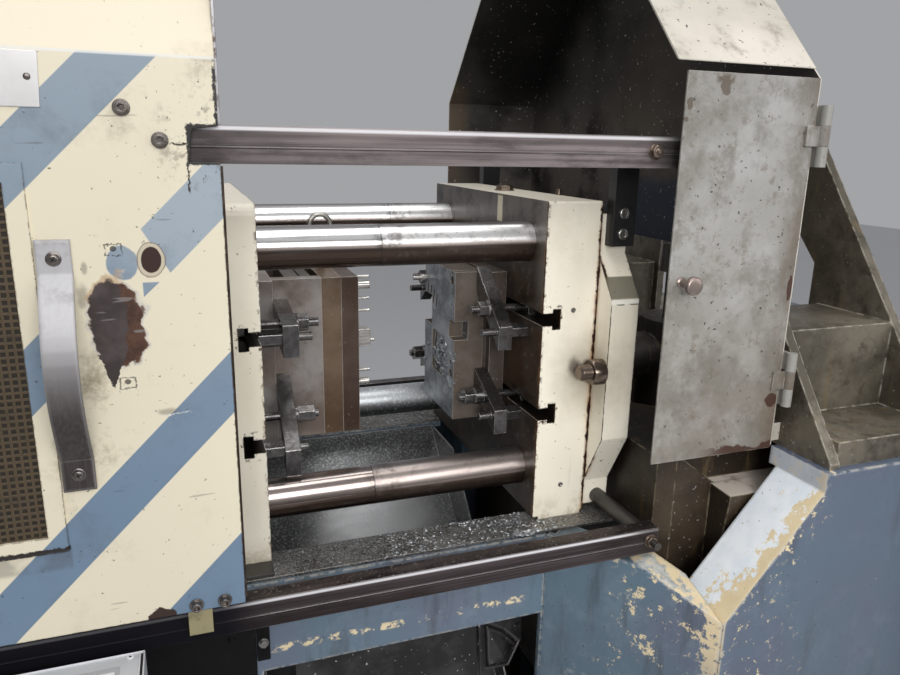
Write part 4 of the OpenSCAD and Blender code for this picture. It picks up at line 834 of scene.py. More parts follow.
def slab(bm, outline, along):
    """Closed plate: an outline swept along a vector; the faces made"""
    along = Vector(along)
    near = [bm.verts.new(Vector(p)) for p in outline]
    far = [bm.verts.new(Vector(p) + along) for p in outline]
    made = [bm.faces.new(near), bm.faces.new(list(reversed(far)))]
    for k in range(len(near)):
        n = (k + 1) % len(near)
        made.append(bm.faces.new((near[n], near[k], far[k], far[n])))
    return made


def bevelled(bm, lo, hi, width, segments=2):
    """Block with rounded edges between two corners"""
    x0, y0, z0 = lo
    x1, y1, z1 = hi
    made = slab(bm, [(x0, y0, z0), (x1, y0, z0), (x1, y1, z0), (x0, y1, z0)], (0, 0, z1 - z0))
    edges = list({edge for face in made for edge in face.edges})
    bmesh.ops.bevel(bm, geom=edges, offset=width, segments=segments, affect="EDGES", profile=0.5)


def cross_screw(bm, at, axis, radius, tall):
    """Pan head screw on a washer; the cross in its head is made apart from it"""
    turned(bm, at, axis, [("round", radius * 1.25, 0.0), ("round", radius * 1.25, 0.0007), ("round", radius * 1.15, 0.0011)], 32)
    dome(bm, Vector(at) + Vector(axis) * 0.0011, axis, radius, tall, 0.45)


def settings(context):
    return context.scene.machine_colours, context.scene.machine_sizes


def dress(names, material):
    for name in names:
        NODES[name].data.materials.clear()
        NODES[name].data.materials.append(material)


class MACHINE_OT_paint_clamp_unit(bpy.types.Operator):
    """Paints the platens, their ribs, the covers and the housing"""

    bl_idname = "machine.paint_clamp_unit"
    bl_label = "Paint Clamp Unit"

    def execute(self, context):
        c, _ = settings(context)
        weld = (low("platen_ribs").x, -low("fixed_platen").y)
        dress(["fixed_platen"], cream_paint("cream_fixed_platen", c, (low("fixed_platen").x, -1), weld, c.platen))
        dress(["platen_ribs"], cream_paint("cream_ribs", c, None, weld, c.platen))
        dress(["moving_platen"], cream_paint("cream_moving_platen", c, (high("moving_platen").x, 1), None, c.platen))
        dress(["end_platen", "clamp_housing", "cover_front", "cover_rear"], cream_paint("cream_paint", c))
        return {"FINISHED"}


class MACHINE_OT_paint_guards(bpy.types.Operator):
    """Paints the sliding guard with its stripes, and the rear guard"""

    bl_idname = "machine.paint_guards"
    bl_label = "Paint Guards"

    def execute(self, context):
        c, sizes = settings(context)
        dress(["guard_door", "window_frame"], guard_paint("guard_paint", c, sizes))
        dress(["rear_guard"], guard_paint("rear_guard_paint", c, sizes, worn=False))
        dress(["guard_handle"], handle_steel("handle_steel"))
        dress(["guard_shoes"], plain("yellowed_nylon", (0.36, 0.31, 0.17), 0.45, 0.0, 0.1, 0.004, 0.5))
        return {"FINISHED"}


class MACHINE_OT_paint_base(bpy.types.Operator):
    """Paints the base, its feet, the slideways and the chute"""

    bl_idname = "machine.paint_base"
    bl_label = "Paint Base"

    def execute(self, context):
        c, _ = settings(context)
        dress(["clamp_base", "splay_walls", "furnace_base"], blue_paint("base_paint", c))
        dress(["levelling_feet"], plain("foot_iron", (0.06, 0.06, 0.06), 0.5, 0.6))
        dress(["slideways"], way_steel("slideway_steel"))
        dress(["drop_chute"], dusty_sheet("chute_sheet"))
        dress(["control_box"], plain("box_paint", c.box, 0.38, 0.0, 0.08, 0.004, 0.15))
        return {"FINISHED"}


class MACHINE_OT_finish_bars(bpy.types.Operator):
    """Chromes the tie bars and finishes the rails, rods, posts and nuts"""

    bl_idname = "machine.finish_bars"
    bl_label = "Finish Bars and Rails"

    def execute(self, context):
        c, _ = settings(context)
        dress(["bar_upper_front"], tie_bar("chrome_upper", c, 0.178))
        dress(["bar_lower_front"], tie_bar("chrome_lower", c, 0.165, 0.0, c.bar_low, 0.9))
        dress(["bar_upper_rear"], tie_bar("chrome_rear", c, 0.30))
        dress(["bar_lower_rear"], tie_bar("chrome_speckled", c, 0.30, 0.9))
        dress(["closing_rod"], tie_bar("chrome_rod", c, -0.40))
        dress(["top_rail"], rail_steel("rail_upper", [0.245, 0.208, 0.205], low("top_rail").z, 0.75, 0.0))
        dress(["bottom_rail"], rail_steel("rail_lower", [0.075, 0.060, 0.062], low("bottom_rail").z, 0.85, 0.9))
        dress(["rear_rails"], bare_steel("rail_rear", c.rail, c, (0.04, 1, 1), 0.30, 0.5, 0.0022))
        dress(["rail_rods", "bar_nuts", "platen_shoes", "closing_cylinder"], plain("dark_steel", (0.09, 0.085, 0.08), 0.42, 0.7))
        dress(["rail_posts"], plain("black_paint", (0.016, 0.016, 0.017), 0.36, 0.0, 0.15, 0.01, 0.3))
        return {"FINISHED"}


class MACHINE_OT_finish_dies(bpy.types.Operator):
    """Finishes the die plates, the clamps, the pins and the lifting eye"""

    bl_idname = "machine.finish_dies"
    bl_label = "Finish Dies"

    def execute(self, context):
        c, _ = settings(context)
        dress(["ejector_base"], die_plate("die_grey", [0.34, 0.315, 0.295], c))
        dress(["ejector_rails"], die_plate("die_brown", [0.34, 0.31, 0.29], c))
        dress(["ejector_plate"], die_plate("die_straw", [0.19, 0.130, 0.085], c))
        dress(["ejector_face"], die_plate("die_dark", [0.100, 0.064, 0.048], c))
        dress(["cover_base", "cover_mid"], die_plate("die_dark_cover", [0.125, 0.105, 0.092], c))
        dress(["cover_face"], die_plate("die_cover_face", [0.185, 0.155, 0.130], c, 0.9))
        dress(["ejector_pack"], plain("ejector_pack_steel", (0.14, 0.12, 0.10), 0.40, 0.8))
        dress(["ejector_pins", "cover_pin"], bare_steel("pin_steel", (0.60, 0.57, 0.53), c, (0.1, 1, 1), 0.22, 0.3))
        dress(["ejector_clamps", "cover_clamps"], bare_steel("clamp_steel", (0.155, 0.148, 0.145), c, (0.4, 1, 0.3), 0.22, 0.50, 0.0020, 0.9))
        dress(["lifting_eye"], bare_steel("eye_steel", (0.50, 0.48, 0.44), c, (1, 1, 1), 0.30, 0.5))
        return {"FINISHED"}


class MACHINE_OT_finish_furnace(bpy.types.Operator):
    """Finishes the hood, the furnace casing and the injection frame"""

    bl_idname = "machine.finish_furnace"
    bl_label = "Finish Furnace Side"

    def execute(self, context):
        c, _ = settings(context)
        dress(["hood_shell", "hood_collar"], hood_sheet_paint("hood_sheet", c))
        dress(["hood_door"], hood_door_paint("hood_door_paint", c))
        dress(["hood_hinges"], plain("hinge_plate", (0.36, 0.35, 0.32), 0.45, 0.2))
        dress(["furnace_casing"], sooty_iron("casing_iron", c, (0.021, 0.013, 0.008), (0.060, 0.043, 0.026), (0.42, 0.35, 0.23), 0.75, (0.86, 0.76, 0.66)))
        dress(["injection_frame"], sooty_iron("frame_iron", c, (0.085, 0.072, 0.052), (0.180, 0.158, 0.120), (0.62, 0.58, 0.48), 0.9))
        dress(["gooseneck"], sooty_iron("gooseneck_iron", c, (0.045, 0.04, 0.036), (0.10, 0.085, 0.07)))
        dress(["injection_cylinder"], plain("cylinder_steel", (0.22, 0.22, 0.21), 0.32, 0.8))
        return {"FINISHED"}


class MACHINE_OT_build_window(bpy.types.Operator):
    """Makes the window's sheet with its rows of square holes"""

    bl_idname = "machine.build_window"
    bl_label = "Build Window Sheet"

    def execute(self, context):
        c, sizes = settings(context)
        lo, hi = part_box("window_mesh")
        bm = bmesh.new()
        columns = round((hi.x - lo.x) / sizes.mesh_pitch)
        rows = round((hi.z - lo.z) / sizes.mesh_pitch)
        step_x = (hi.x - lo.x) / columns
        step_z = (hi.z - lo.z) / rows
        rim_x = (step_x - sizes.mesh_hole) / 2
        rim_z = (step_z - sizes.mesh_hole) / 2
        deep = lo.y + sizes.mesh_depth
        xs, zs = [], []
        for k in range(columns):
            xs += [lo.x + step_x * k, lo.x + step_x * k + rim_x, lo.x + step_x * (k + 1) - rim_x]
        for k in range(rows):
            zs += [lo.z + step_z * k, lo.z + step_z * k + rim_z, lo.z + step_z * (k + 1) - rim_z]
        xs.append(hi.x)
        zs.append(hi.z)
        grid = [[bm.verts.new((x, lo.y, z)) for z in zs] for x in xs]
        for i in range(len(xs) - 1):
            for j in range(len(zs) - 1):
                rim = (grid[i][j], grid[i + 1][j], grid[i + 1][j + 1], grid[i][j + 1])
                if i % 3 == 1 and j % 3 == 1:
                    floor = [bm.verts.new((v.co.x, deep, v.co.z)) for v in rim]
                    for k in range(4):
                        n = (k + 1) % 4
                        bm.faces.new((rim[k], rim[n], floor[n], floor[k]))
                    bm.faces.new(floor).material_index = 1
                else:
                    bm.faces.new(rim)
        last_x, last_z = len(xs) - 1, len(zs) - 1
        around = [grid[i][0] for i in range(last_x)] + [grid[last_x][j] for j in range(last_z)]
        around += [grid[i][last_z] for i in range(last_x, 0, -1)] + [grid[0][j] for j in range(last_z, 0, -1)]
        back = [bm.verts.new((v.co.x, hi.y, v.co.z)) for v in around]
        for k in range(len(around)):
            n = (k + 1) % len(around)
            bm.faces.new((around[n], around[k], back[k], back[n]))
        bm.faces.new(back)
        made = piece("window_perforated_sheet", finished(bm, "window_sheet"),
                     plain("brown_sheet", c.mesh, 0.50, 0.2, 0.1, 0.004, 0.6, (0.05, 0.036, 0.022)), "guard")
        made.data.materials.append(plain("hole_dirt", (0.022, 0.014, 0.008), 0.6, 0.0, 0.2, 0.004, 0.5, (0.05, 0.035, 0.02)))
        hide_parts("window_mesh")
        return {"FINISHED"}


class MACHINE_OT_build_guard_fittings(bpy.types.Operator):
    """Makes the guard's socket screws, its blank plate and the handle's screws"""

    bl_idname = "machine.build_guard_fittings"
    bl_label = "Build Guard Fittings"

    def execute(self, context):
        c, sizes = settings(context)
        face = low("guard_door").y
        steel = plain("screw_steel", (0.22, 0.195, 0.18), 0.25, 0.95, 0.1, 0.004, 0.6, (0.02, 0.014, 0.010))
        bm = bmesh.new()
        for x, z in ((-0.153, 1.532), (-0.118, 1.500), (-0.117, 0.9365), (-0.083, 0.9365)):
            socket_screw(bm, (x, face, z), (0, -1, 0), sizes.screw, 0.007, sizes.washer)
        piece("guard_screws", finished(bm, "guard_screws"), steel, "guard", 40)
        hl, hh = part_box("guard_handle")
        bm = bmesh.new()
        slots = bmesh.new()
        for z, turn in ((hl.z + 0.020, 0.3), (hh.z - 0.020, 0.9)):
            x = (hl.x + hh.x) / 2
            cross_screw(bm, (x, face - 0.0050, z), (0, -1, 0), 0.0062, 0.0034)
            for way in (turn, turn + pi / 2):
                a, b = cos(way) * 0.0034, sin(way) * 0.0034
                u, v = -sin(way) * 0.0006, cos(way) * 0.0006
                corners = [(x + i * a + j * u, face - 0.0085, z + i * b + j * v) for i, j in ((1, 1), (1, -1), (-1, -1), (-1, 1))]
                slab(slots, corners, (0, -0.0012, 0))
        piece("handle_screws", finished(bm, "handle_screws"), steel, "guard", 40)
        black = plain("screw_slots", (0.012, 0.010, 0.009), 0.6)
        piece("handle_screw_slots", finished(slots, "handle_screw_slots"), black, "guard")
        bm = bmesh.new()
        edge_x = high("guard_door").x
        for z0, z1 in ((low("guard_door").z + 0.006, 1.4735), (1.5195, high("guard_door").z - 0.004)):
            slab(bm, [(edge_x, face + 0.0045, z0), (edge_x + 0.0026, face + 0.0045, z0),
                      (edge_x + 0.0030, face + 0.0050, z0), (edge_x + 0.0030, face + 0.0160, z0),
                      (edge_x, face + 0.0160, z0)], (0, 0, z1 - z0))
        f = Finish("edge_strip_metal", 0.6)
        tone = f.blend(f.ramp(f.z, 1.46, 1.53), [0.035, 0.022, 0.015], [0.42, 0.41, 0.42])
        f.finish(f.blend(f.ramp(f.noise(0.02, 5, 0.7), 0.45, 0.65), tone, [0.09, 0.06, 0.045]), 0.4)
        piece("guard_edge_strip", finished(bm, "guard_edge_strip"), f.material, "guard")
        bm = bmesh.new()
        x0, x1, z0, z1 = -0.335, -0.2275, 1.5295, 1.583
        corners = [(x0, z0), (x1 - 0.001, z0), (x1, z0 + 0.001), (x1 + 0.0028, z1), (x0, z1)]
        front = [bm.verts.new((x, face - 0.0016, z)) for x, z in corners]
        back = [bm.verts.new((x, face + 0.0002, z)) for x, z in corners]
        bm.faces.new(front)
        bm.faces.new(list(reversed(back)))
        for k in range(len(corners)):
            n = (k + 1) % len(corners)
            bm.faces.new((front[n], front[k], back[k], back[n]))
        plate = plain("plate_aluminium", (0.66, 0.65, 0.64), 0.36, 0.8, 0.04, 0.002, 0.12, (0.30, 0.28, 0.26))
        piece("blank_plate", finished(bm, "blank_plate"), plate, "guard")
        bm = bmesh.new()
        for x in (x0 + 0.010, x1 - 0.0085):
            dome(bm, (x, face - 0.0016, 1.5585), (0, -1, 0), 0.0035, 0.0018, 0.45)
        piece("plate_rivets", finished(bm, "plate_rivets"), steel, "guard", 40)
        return {"FINISHED"}


class MACHINE_OT_build_platen_fittings(bpy.types.Operator):
    """Makes the platen's studs, the rail screws and the small screws on the machine"""

    bl_idname = "machine.build_platen_fittings"
    bl_label = "Build Platen Fittings"

    def execute(self, context):
        steel = plain("stud_steel", (0.22, 0.17, 0.135), 0.28, 0.9, 0.15, 0.004, 0.5, (0.04, 0.025, 0.015))
        side = low("fixed_platen").y
        top = high("fixed_platen").z
        back = high("fixed_platen").x
        bm = bmesh.new()
        for sign in (-1, 1):
            hex_nut(bm, (back, sign * 0.300, 1.146), (-1, 0, 0), 0.041, 0.023, 0.027, 0.020, 7)
        rail = low("bottom_rail").y
        rods_x = (low("rail_rods").x + high("rail_rods").x) / 2
        for z, x in ((0.902, rods_x), (1.498, 0.508)):
            turned(bm, (x, rail, z), (0, -1, 0), [("round", 0.0105, 0), ("round", 0.0105, 0.0016)], 24)
            hex_nut(bm, (x, rail - 0.0016, z), (0, -1, 0), 0.0165, 0.0065, 0.008, 0.003, 2)
        turned(bm, (0.482, 0.009, top), (0, 0, 1), [("round", 0.019, 0), ("round", 0.019, 0.002), ("hex", 0.014, 0.002),
                                                     ("hex", 0.014, 0.009), ("round", 0.0125, 0.0105)], 24)
        socket_screw(bm, (0.5265, -0.1265, top), (0, 0, 1), 0.010, 0.010)
        piece("platen_nuts", finished(bm, "platen_nuts"), steel, "machine", 40)
        bm = bmesh.new()
        for x, z in ((0.484, 0.936), (0.488, 1.245)):
            socket_screw(bm, (x, side, z), (0, -1, 0), 0.0085, 0.0022)
        for sign in (-1, 1):
            for z in (1.4015, 1.3690):
                socket_screw(bm, (0.5600, sign * 0.2860, z), (0, sign, 0), 0.0180, 0.0040)
        piece("small_screws", finished(bm, "small_screws"), plain("screw_bright", (0.40, 0.38, 0.36), 0.26, 0.9, 0.1, 0.004, 0.3),
              "machine", 40)
        return {"FINISHED"}


class MACHINE_OT_build_base_fittings(bpy.types.Operator):
    """Makes the black sheet that stands for the shade in the base's recess, its bolt plate and the folded sheets in its
    window
    """

    bl_idname = "machine.build_base_fittings"
    bl_label = "Build Base Fittings"

    def execute(self, context):
        c, _ = settings(context)
        front = low("clamp_base").y
        black = plain("black_shade_and_plate", (0.0045, 0.004, 0.0045), 0.45, 0.0, 0.15, 0.01, 0.4, (0.012, 0.009, 0.008))
        black.node_tree.nodes["Principled BSDF"].inputs["Specular IOR Level"].default_value = 0.12
        bm = bmesh.new()
        # painted shade: a black sheet with rivets put where the base's recess lies in shade
        bevelled(bm, (-1.640, front - 0.004, 0.300), (-0.0405, front + 0.0003, 0.822), 0.0012)
        bevelled(bm, (-0.0395, front - 0.007, 0.744), (-0.0205, front + 0.0003, 0.800), 0.0015)
        for x in (-1.60, -1.06, -0.52, -0.075):
            for z in (0.330, 0.790):
                dome(bm, (x, front - 0.004, z), (0, -1, 0), 0.006, 0.003, 0.4)
        piece("shade_sheet_and_bolt_plate", finished(bm, "shade_sheet_and_bolt_plate"), black, "machine", 30)
        bm = bmesh.new()
        turned(bm, (-0.030, front - 0.007, 0.775), (0, -1, 0), [("round", 0.0075, 0), ("round", 0.0075, 0.001),
                                                               ("hex", 0.0055, 0.001), ("hex", 0.0055, 0.005)], 24)
        piece("base_bolt", finished(bm, "base_bolt"), plain("base_bolt", (0.25, 0.24, 0.23), 0.3, 0.9), "machine", 40)
        bm = bmesh.new()
        y = front + 0.030
        slab(bm, [(0.020, y, 0.7060), (0.330, y, 0.7080), (0.330, y + 0.0015, 0.7080), (0.020, y + 0.0015, 0.7060)],
             (0, -0.012, -0.150))
        slab(bm, [(0.335, y - 0.004, 0.7190), (0.424, y + 0.020, 0.7240), (0.426, y + 0.016, 0.6380), (0.395, y, 0.6000),
                  (0.342, y - 0.006, 0.6080)], (0, 0.0015, 0))
        slab(bm, [(0.3305, y - 0.006, 0.7200), (0.3345, y - 0.006, 0.7210), (0.3430, y - 0.009, 0.5600), (0.3390, y - 0.009, 0.5600)],
             (0, 0.0030, 0))
        f = Finish("folded_sheet", 0.3)
        edge = f.edges(0.004)
        tone = f.blend(f.ramp(f.noise(0.06, 5), 0.40, 0.62), [0.012, 0.011, 0.011], [0.040, 0.037, 0.037])
        # painted highlight along the bright fold of the sheet
        fold_highlight = f.times(f.between(f.z, 0.698, 0.7045, 0.0015), f.ramp(f.x, 0.335, 0.330))
        tone = f.blend(f.times(fold_highlight, 0.85), tone, [0.75, 0.74, 0.74])
        tone = f.blend(f.times(f.ramp(f.noise(0.006, 2), 0.70, 0.73), 0.8), tone, [0.6, 0.6, 0.6])
        tone = f.blend(f.times(edge, 0.12), tone, [0.45, 0.42, 0.40])
        f.finish(tone, 0.24, f.noise(0.03, 4), 0.12, 0.003)
        piece("folded_sheets", finished(bm, "folded_sheets"), f.material, "machine")
        lo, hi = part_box("control_box")
        back, top = lo.y + 0.105, hi.z
        bm = bmesh.new()
        bevelled(bm, (lo.x, back - 0.0022, top - 0.0005), (hi.x, back, top + 0.0022), 0.0008)
        bevelled(bm, (lo.x, lo.y, top - 0.0005), (hi.x, lo.y + 0.0022, top + 0.0022), 0.0008)
        for x in (lo.x, hi.x - 0.0016):
            bevelled(bm, (x, lo.y, top - 0.0005), (x + 0.0016, back, top + 0.0022), 0.0006)
        bevelled(bm, (hi.x - 0.0062, lo.y, top - 0.0002), (hi.x - 0.0048, back, top + 0.0018), 0.0004, 1)
        paint = plain("box_rim_paint", (0.80, 0.80, 0.84), 0.30, 0.0, 0.05, 0.004, 0.10)
        piece("box_rim", finished(bm, "box_rim"), paint, "machine", 30)
        bm = bmesh.new()
        bevelled(bm, (hi.x - 0.0046, lo.y + 0.002, top - 0.0001), (hi.x - 0.0018, back - 0.003, top + 0.0002), 0.00005, 1)
        for x in (lo.x + 0.016, hi.x - 0.0165):
            for y_at in (lo.y + 0.010, back - 0.0065):
                turned(bm, (x, y_at, top + 0.0013), (0, 0, 1), [("round", 0.0014, 0), ("round", 0.0014, 0.0002)], 16)
        piece("box_gaps", finished(bm, "box_gaps"), plain("box_gap", (0.012, 0.012, 0.015), 0.6), "machine")
        bm = bmesh.new()
        for x in (lo.x + 0.016, hi.x - 0.0165):
            for y_at in (lo.y + 0.010, back - 0.0065):
                turned(bm, (x, y_at, top), (0, 0, 1), [("round", 0.0042, 0), ("round", 0.0042, 0.0008), ("round", 0.0036, 0.0013)], 28)
        white = plain("box_screws", (0.88, 0.88, 0.90), 0.35, 0.0, 0.05, 0.004, 0.1)
        piece("box_screws", finished(bm, "box_screws"), white, "machine", 30)
        bm = bmesh.new()
        bevelled(bm, (lo.x + 0.050, lo.y + 0.008, top - 0.0002), (-0.2066, back - 0.020, top + 0.0006), 0.0003, 1)
        piece("box_label", finished(bm, "box_label"), plain("box_label", (0.46, 0.47, 0.50), 0.4, 0.0, 0.05, 0.004, 0.15),
              "machine")
        bm = bmesh.new()
        bevelled(bm, (lo.x + 0.060, lo.y + 0.016, top + 0.0005), (-0.2120, back - 0.029, top + 0.0011), 0.0003, 1)
        piece("box_blank_label", finished(bm, "box_blank_label"), white, "machine")
        return {"FINISHED"}


class MACHINE_OT_build_covers(bpy.types.Operator):
    """Makes the panels, seams, screws and louvres of the housing, and the screws on the hood's end"""

    bl_idname = "machine.build_covers"
    bl_label = "Build Cover Fittings"

    def execute(self, context):
        c, _ = settings(context)
        lo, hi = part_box("clamp_housing")
        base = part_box("clamp_base")
        paint = plain("cover_strips", c.cream, 0.40, 0.0, 0.08, 0.006, 0.25, (0.20, 0.15, 0.09))
        dark = plain("louvre_shade", (0.030, 0.024, 0.018), 0.6)
        steel = plain("cover_screws", (0.32, 0.30, 0.28), 0.34, 0.85, 0.1, 0.004, 0.4)
        strips, screws, gaps = bmesh.new(), bmesh.new(), bmesh.new()
        z0, z1 = 0.955, hi.z - 0.020
        span = (hi.x - lo.x) / 3
        for side, y in ((-1, lo.y), (1, hi.y)):
            for k in range(3):
                x0, x1 = lo.x + span * k + 0.014, lo.x + span * (k + 1) - 0.014
                bevelled(strips, (x0, min(y, y + side * 0.003), z0), (x1, max(y, y + side * 0.003), z1), 0.001)
                for x in (x0 + 0.018, (x0 + x1) / 2, x1 - 0.018):
                    for z in (z0 + 0.018, z1 - 0.018):
                        dome(screws, (x, y + side * 0.003, z), (0, side, 0), 0.0065, 0.003, 0.4)
                for row in range(7):
                    z = z0 + 0.12 + row * 0.026
                    a, b = (x0 + x1) / 2 - 0.070, (x0 + x1) / 2 + 0.070
                    out = y + side * 0.003
                    slab(strips, [(a, out, z), (a, out + side * 0.007, z), (a, out, z + 0.016)], (b - a, 0, 0))
                    slab(gaps, [(a + 0.002, out, z - 0.003), (a + 0.002, out + side * 0.0004, z - 0.003),
                                (a + 0.002, out + side * 0.0004, z), (a + 0.002, out, z)], (b - a - 0.004, 0, 0))
        piece("housing_panels", finished(strips, "housing_panels"), paint, "machine", 30)
        piece("housing_screws", finished(screws, "housing_screws"), steel, "machine", 40)
        piece("louvre_gaps", finished(gaps, "louvre_gaps"), dark, "machine")
        hood_lo, hood_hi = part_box("hood_shell")
        bm = bmesh.new()
        end = hood_hi.x
        for y in (-0.36, -0.18, 0.0, 0.18, 0.36):
            dome(bm, (end, y, 1.40), (1, 0, 0), 0.006, 0.003, 0.4)
        piece("machine_bolts", finished(bm, "machine_bolts"), steel, "machine", 40)
        return {"FINISHED"}


class MACHINE_OT_build_knob(bpy.types.Operator):
    """Turns the hood door's knob"""

    bl_idname = "machine.build_knob"
    bl_label = "Build Door Knob"

    def execute(self, context):
        lo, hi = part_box("door_knob")
        at = ((lo.x + hi.x) / 2, hi.y, (lo.z + hi.z) / 2)
        deep, r = hi.y - lo.y, (hi.x - lo.x) / 2
        bm = bmesh.new()
        profile = [(0.60, 0), (0.60, 0.05), (0.42, 0.10), (0.36, 0.50), (0.40, 0.66), (0.88, 0.72), (1.0, 0.77),
                   (1.0, 0.90), (0.95, 0.965), (0.80, 0.995), (0.3, 1.0)]
        turned(bm, at, (0, -1, 0), [("round", r * a, deep * b) for a, b in profile], 40)
        knob = piece("turned_knob", finished(bm, "turned_knob"), plain("knob_bronze", (0.34, 0.27, 0.24), 0.34, 0.8, 0.05),
                     "hood_door", 50)
        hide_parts("door_knob")
        return {"FINISHED"}


class MACHINE_OT_build_splashes(bpy.types.Operator):
    """Makes the zinc crumbs on the slideways and the base, the flash on the die and the splashes on the gooseneck"""

    bl_idname = "machine.build_splashes"
    bl_label = "Build Zinc Splashes"

    def execute(self, context):
        _, sizes = settings(context)
        rng = random.Random(7)
        zinc = zinc_cast("zinc_splash")
        bm = bmesh.new()
        top = high("slideways").z
        swept = high("platen_shoes").x + PLATEN_STROKE + 0.006
        for _ in range(sizes.crumbs):
            x = -0.02 + 0.50 * rng.random() ** 0.9
            y = rng.choice((-1, -1, 1)) * rng.uniform(0.236, 0.306)
            r = 0.0008 * rng.uniform(0.5, 2.0) ** 1.5
            if x < swept:  # the shoes have rolled these flat
                lump(bm, (x, y, top), r, rng, 0.5, (1.5, 1.2, FLAT_CRUMB / r), 0)
            else:
                lump(bm, (x, y, top + r * 0.25), r, rng, 0.5, (1.5, 1.2, 0.6), 0 if r < 0.0016 else 1)
        for _ in range(26):
            x = rng.uniform(0.376, 0.432)
            lump(bm, (x, rng.uniform(-0.311, -0.300), top + 0.001), rng.uniform(0.002, 0.0045), rng, 0.5, (1.6, 1.2, 0.7), 1)
        for _ in range(30):
            turn, out = rng.uniform(0, tau), rng.random() ** 0.6
            lump(bm, (0.497 + 0.02 * out * cos(turn), -0.3135 - 0.0006, 0.613 + 0.03 * out * sin(turn)),
                 rng.uniform(0.001, 0.004), rng, 0.6, (1.2, 0.35, 1.2), 1)
        piece("zinc_crumbs", finished(bm, "zinc_crumbs"), zinc, "machine")
        face = low("cover_face").x
        leader_y = low("ejector_pins").y + 0.016
        bm = bmesh.new()
        for _ in range(46):
            y, z = rng.gauss(-0.045, 0.034), rng.gauss(1.115, 0.016)
            turn = rng.uniform(-0.5, 0.2)
            r = rng.uniform(0.003, 0.0065)
            if abs(y - leader_y) > 0.008 + 2.5 * r:  # the ejector pins reach the die here
                lump(bm, (face - 0.0005, y, z), r, rng, 0.6, (0.35, 1.5, 0.7 + abs(turn)), 1)
        for y, z, w, h in ((-0.105, 1.126, 0.030, 0.0035), (-0.066, 1.108, 0.034, 0.003), (-0.05, 1.130, 0.026, 0.004),
                           (-0.02, 1.100, 0.034, 0.003), (-0.095, 1.075, 0.022, 0.003)):
            slab(bm, [(face - 0.006, y - w / 2, z), (face - 0.0025, y + w / 2, z + 0.010),
                      (face - 0.0025, y + w / 2, z + 0.010 + h), (face - 0.006, y - w / 2, z + h)], (0.0065, 0, 0))
        piece("die_flash", finished(bm, "die_flash"), zinc, "machine")
        bm = bmesh.new()
        neck_lo, neck_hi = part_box("gooseneck")
        for _ in range(60):
            x = rng.uniform(neck_lo.x + 0.05, neck_lo.x + 0.20)
            z = neck_hi.z - 0.004
            lump(bm, (x, rng.uniform(-0.06, 0.06), z), rng.uniform(0.004, 0.012), rng, 0.6, (1.3, 1.2, 0.6), 1)
        piece("neck_splashes", finished(bm, "neck_splashes"), zinc, "machine")
        return {"FINISHED"}


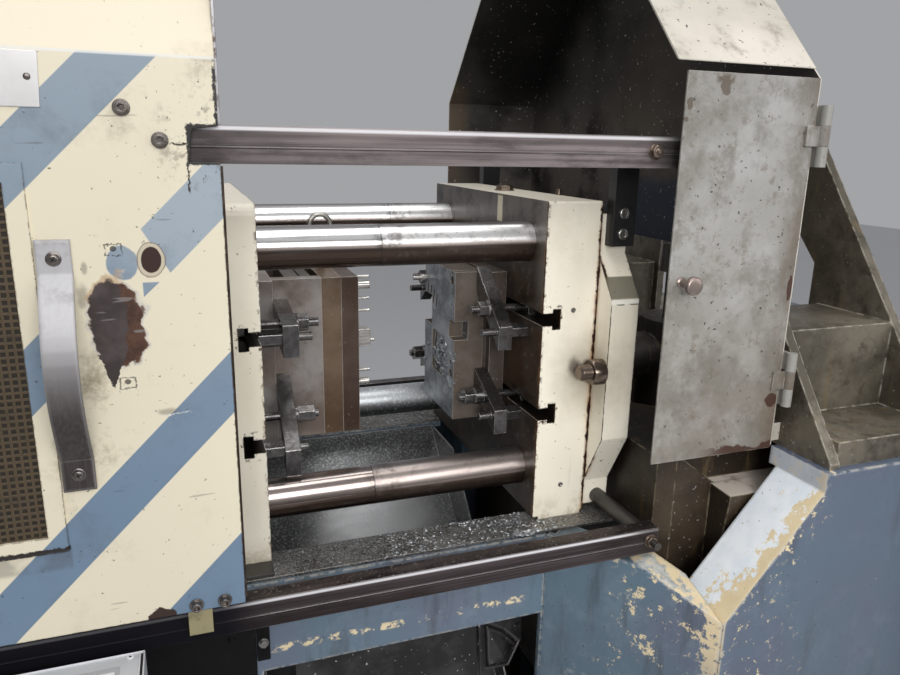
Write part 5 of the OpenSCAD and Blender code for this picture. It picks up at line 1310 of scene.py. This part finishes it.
class MACHINE_OT_build_stage(bpy.types.Operator):
    """Makes the floor, the lights and the camera"""

    bl_idname = "machine.build_stage"
    bl_label = "Build Stage"

    def execute(self, context):
        scene = context.scene
        bm = bmesh.new()
        bmesh.ops.create_grid(bm, x_segments=1, y_segments=1, size=14.0)
        floor = bpy.data.objects.new("floor", finished(bm, "floor"))
        scene.collection.objects.link(floor)
        f = Finish("pale_floor")
        f.finish(f.blend(f.times(f.noise(1.5, 3), 0.3), (0.62, 0.62, 0.63), (0.56, 0.56, 0.57)), 0.7)
        floor.data.materials.append(f.material)
        world = bpy.data.worlds.new("studio")
        scene.world = world
        world.use_nodes = True
        back = world.node_tree.nodes["Background"]
        back.inputs["Color"].default_value = (0.86, 0.87, 0.90, 1)
        back.inputs["Strength"].default_value = 0.42
        scene.view_settings.view_transform = "Standard"
        for name, at, target, size, power in (
            ("key_light", (0.25, -3.3, 2.7), (0.25, 0.0, 1.15), (3.0, 1.6), 60),
            ("top_light", (0.5, -0.3, 3.9), (0.3, 0.0, 1.0), (3.4, 1.4), 48),
            ("fill_light", (2.8, -2.2, 1.9), (0.6, -0.2, 0.9), (1.6, 1.6), 14),
        ):
            lamp = bpy.data.lights.new(name, "AREA")
            lamp.shape = "RECTANGLE"
            lamp.size, lamp.size_y = size
            lamp.energy = power
            made = bpy.data.objects.new(name, lamp)
            made.location = at
            made.rotation_euler = (Vector(target) - Vector(at)).to_track_quat("-Z", "Y").to_euler()
            scene.collection.objects.link(made)
        beam = bpy.data.lights.new("platen_light", "SPOT")
        beam.energy = 95
        beam.spot_size = radians(25)
        beam.spot_blend = 1.0
        beam.shadow_soft_size = 0.25
        made = bpy.data.objects.new("platen_light", beam)
        made.location = (-0.35, -2.7, 1.75)
        made.rotation_euler = (Vector((0.52, -0.3, 1.08)) - made.location).to_track_quat("-Z", "Y").to_euler()
        scene.collection.objects.link(made)
        eye = bpy.data.cameras.new("camera")
        eye.lens = 29.32
        eye.sensor_width = 36.0
        eye.clip_start = 0.05
        camera = bpy.data.objects.new("camera", eye)
        right = Vector((0.94111, -0.33756, 0.01933))
        down = Vector((-0.06773, -0.24424, -0.96735))
        ahead = Vector((0.33126, 0.90907, -0.25272))
        turn = Matrix((right, -down, -ahead)).transposed().to_4x4()
        camera.matrix_world = Matrix.Translation((-0.100, -1.300, 1.500)) @ turn
        scene.collection.objects.link(camera)
        scene.camera = camera
        return {"FINISHED"}


OPERATORS = (
    MACHINE_OT_build_stage,
    MACHINE_OT_paint_clamp_unit,
    MACHINE_OT_paint_guards,
    MACHINE_OT_paint_base,
    MACHINE_OT_finish_bars,
    MACHINE_OT_finish_dies,
    MACHINE_OT_finish_furnace,
    MACHINE_OT_build_window,
    MACHINE_OT_build_guard_fittings,
    MACHINE_OT_build_platen_fittings,
    MACHINE_OT_build_base_fittings,
    MACHINE_OT_build_covers,
    MACHINE_OT_build_knob,
    MACHINE_OT_build_splashes,
)


class MACHINE_PT_panel(bpy.types.Panel):
    """Lists the steps that dress the machine"""

    bl_idname = "MACHINE_PT_panel"
    bl_label = "Die Casting Machine"
    bl_space_type = "VIEW_3D"
    bl_region_type = "UI"
    bl_category = "Machine"

    def draw(self, context):
        colours, sizes = settings(context)
        for group in (colours, sizes):
            for key in group.bl_rna.properties.keys():
                if key not in ("rna_type", "name"):
                    self.layout.prop(group, key)
        for operator in OPERATORS:
            self.layout.operator(operator.bl_idname)


CLASSES = (MachineColours, MachineSizes, *OPERATORS, MACHINE_PT_panel)


def register():
    for cls in CLASSES:
        bpy.utils.register_class(cls)
    bpy.types.Scene.machine_colours = bpy.props.PointerProperty(type=MachineColours)
    bpy.types.Scene.machine_sizes = bpy.props.PointerProperty(type=MachineSizes)


def unregister():
    del bpy.types.Scene.machine_colours
    del bpy.types.Scene.machine_sizes
    for cls in reversed(CLASSES):
        bpy.utils.unregister_class(cls)


def main():
    register()
    for operator in OPERATORS:
        group, name = operator.bl_idname.split(".")
        getattr(getattr(bpy.ops, group), name)()


if __name__ == "__main__":
    main()
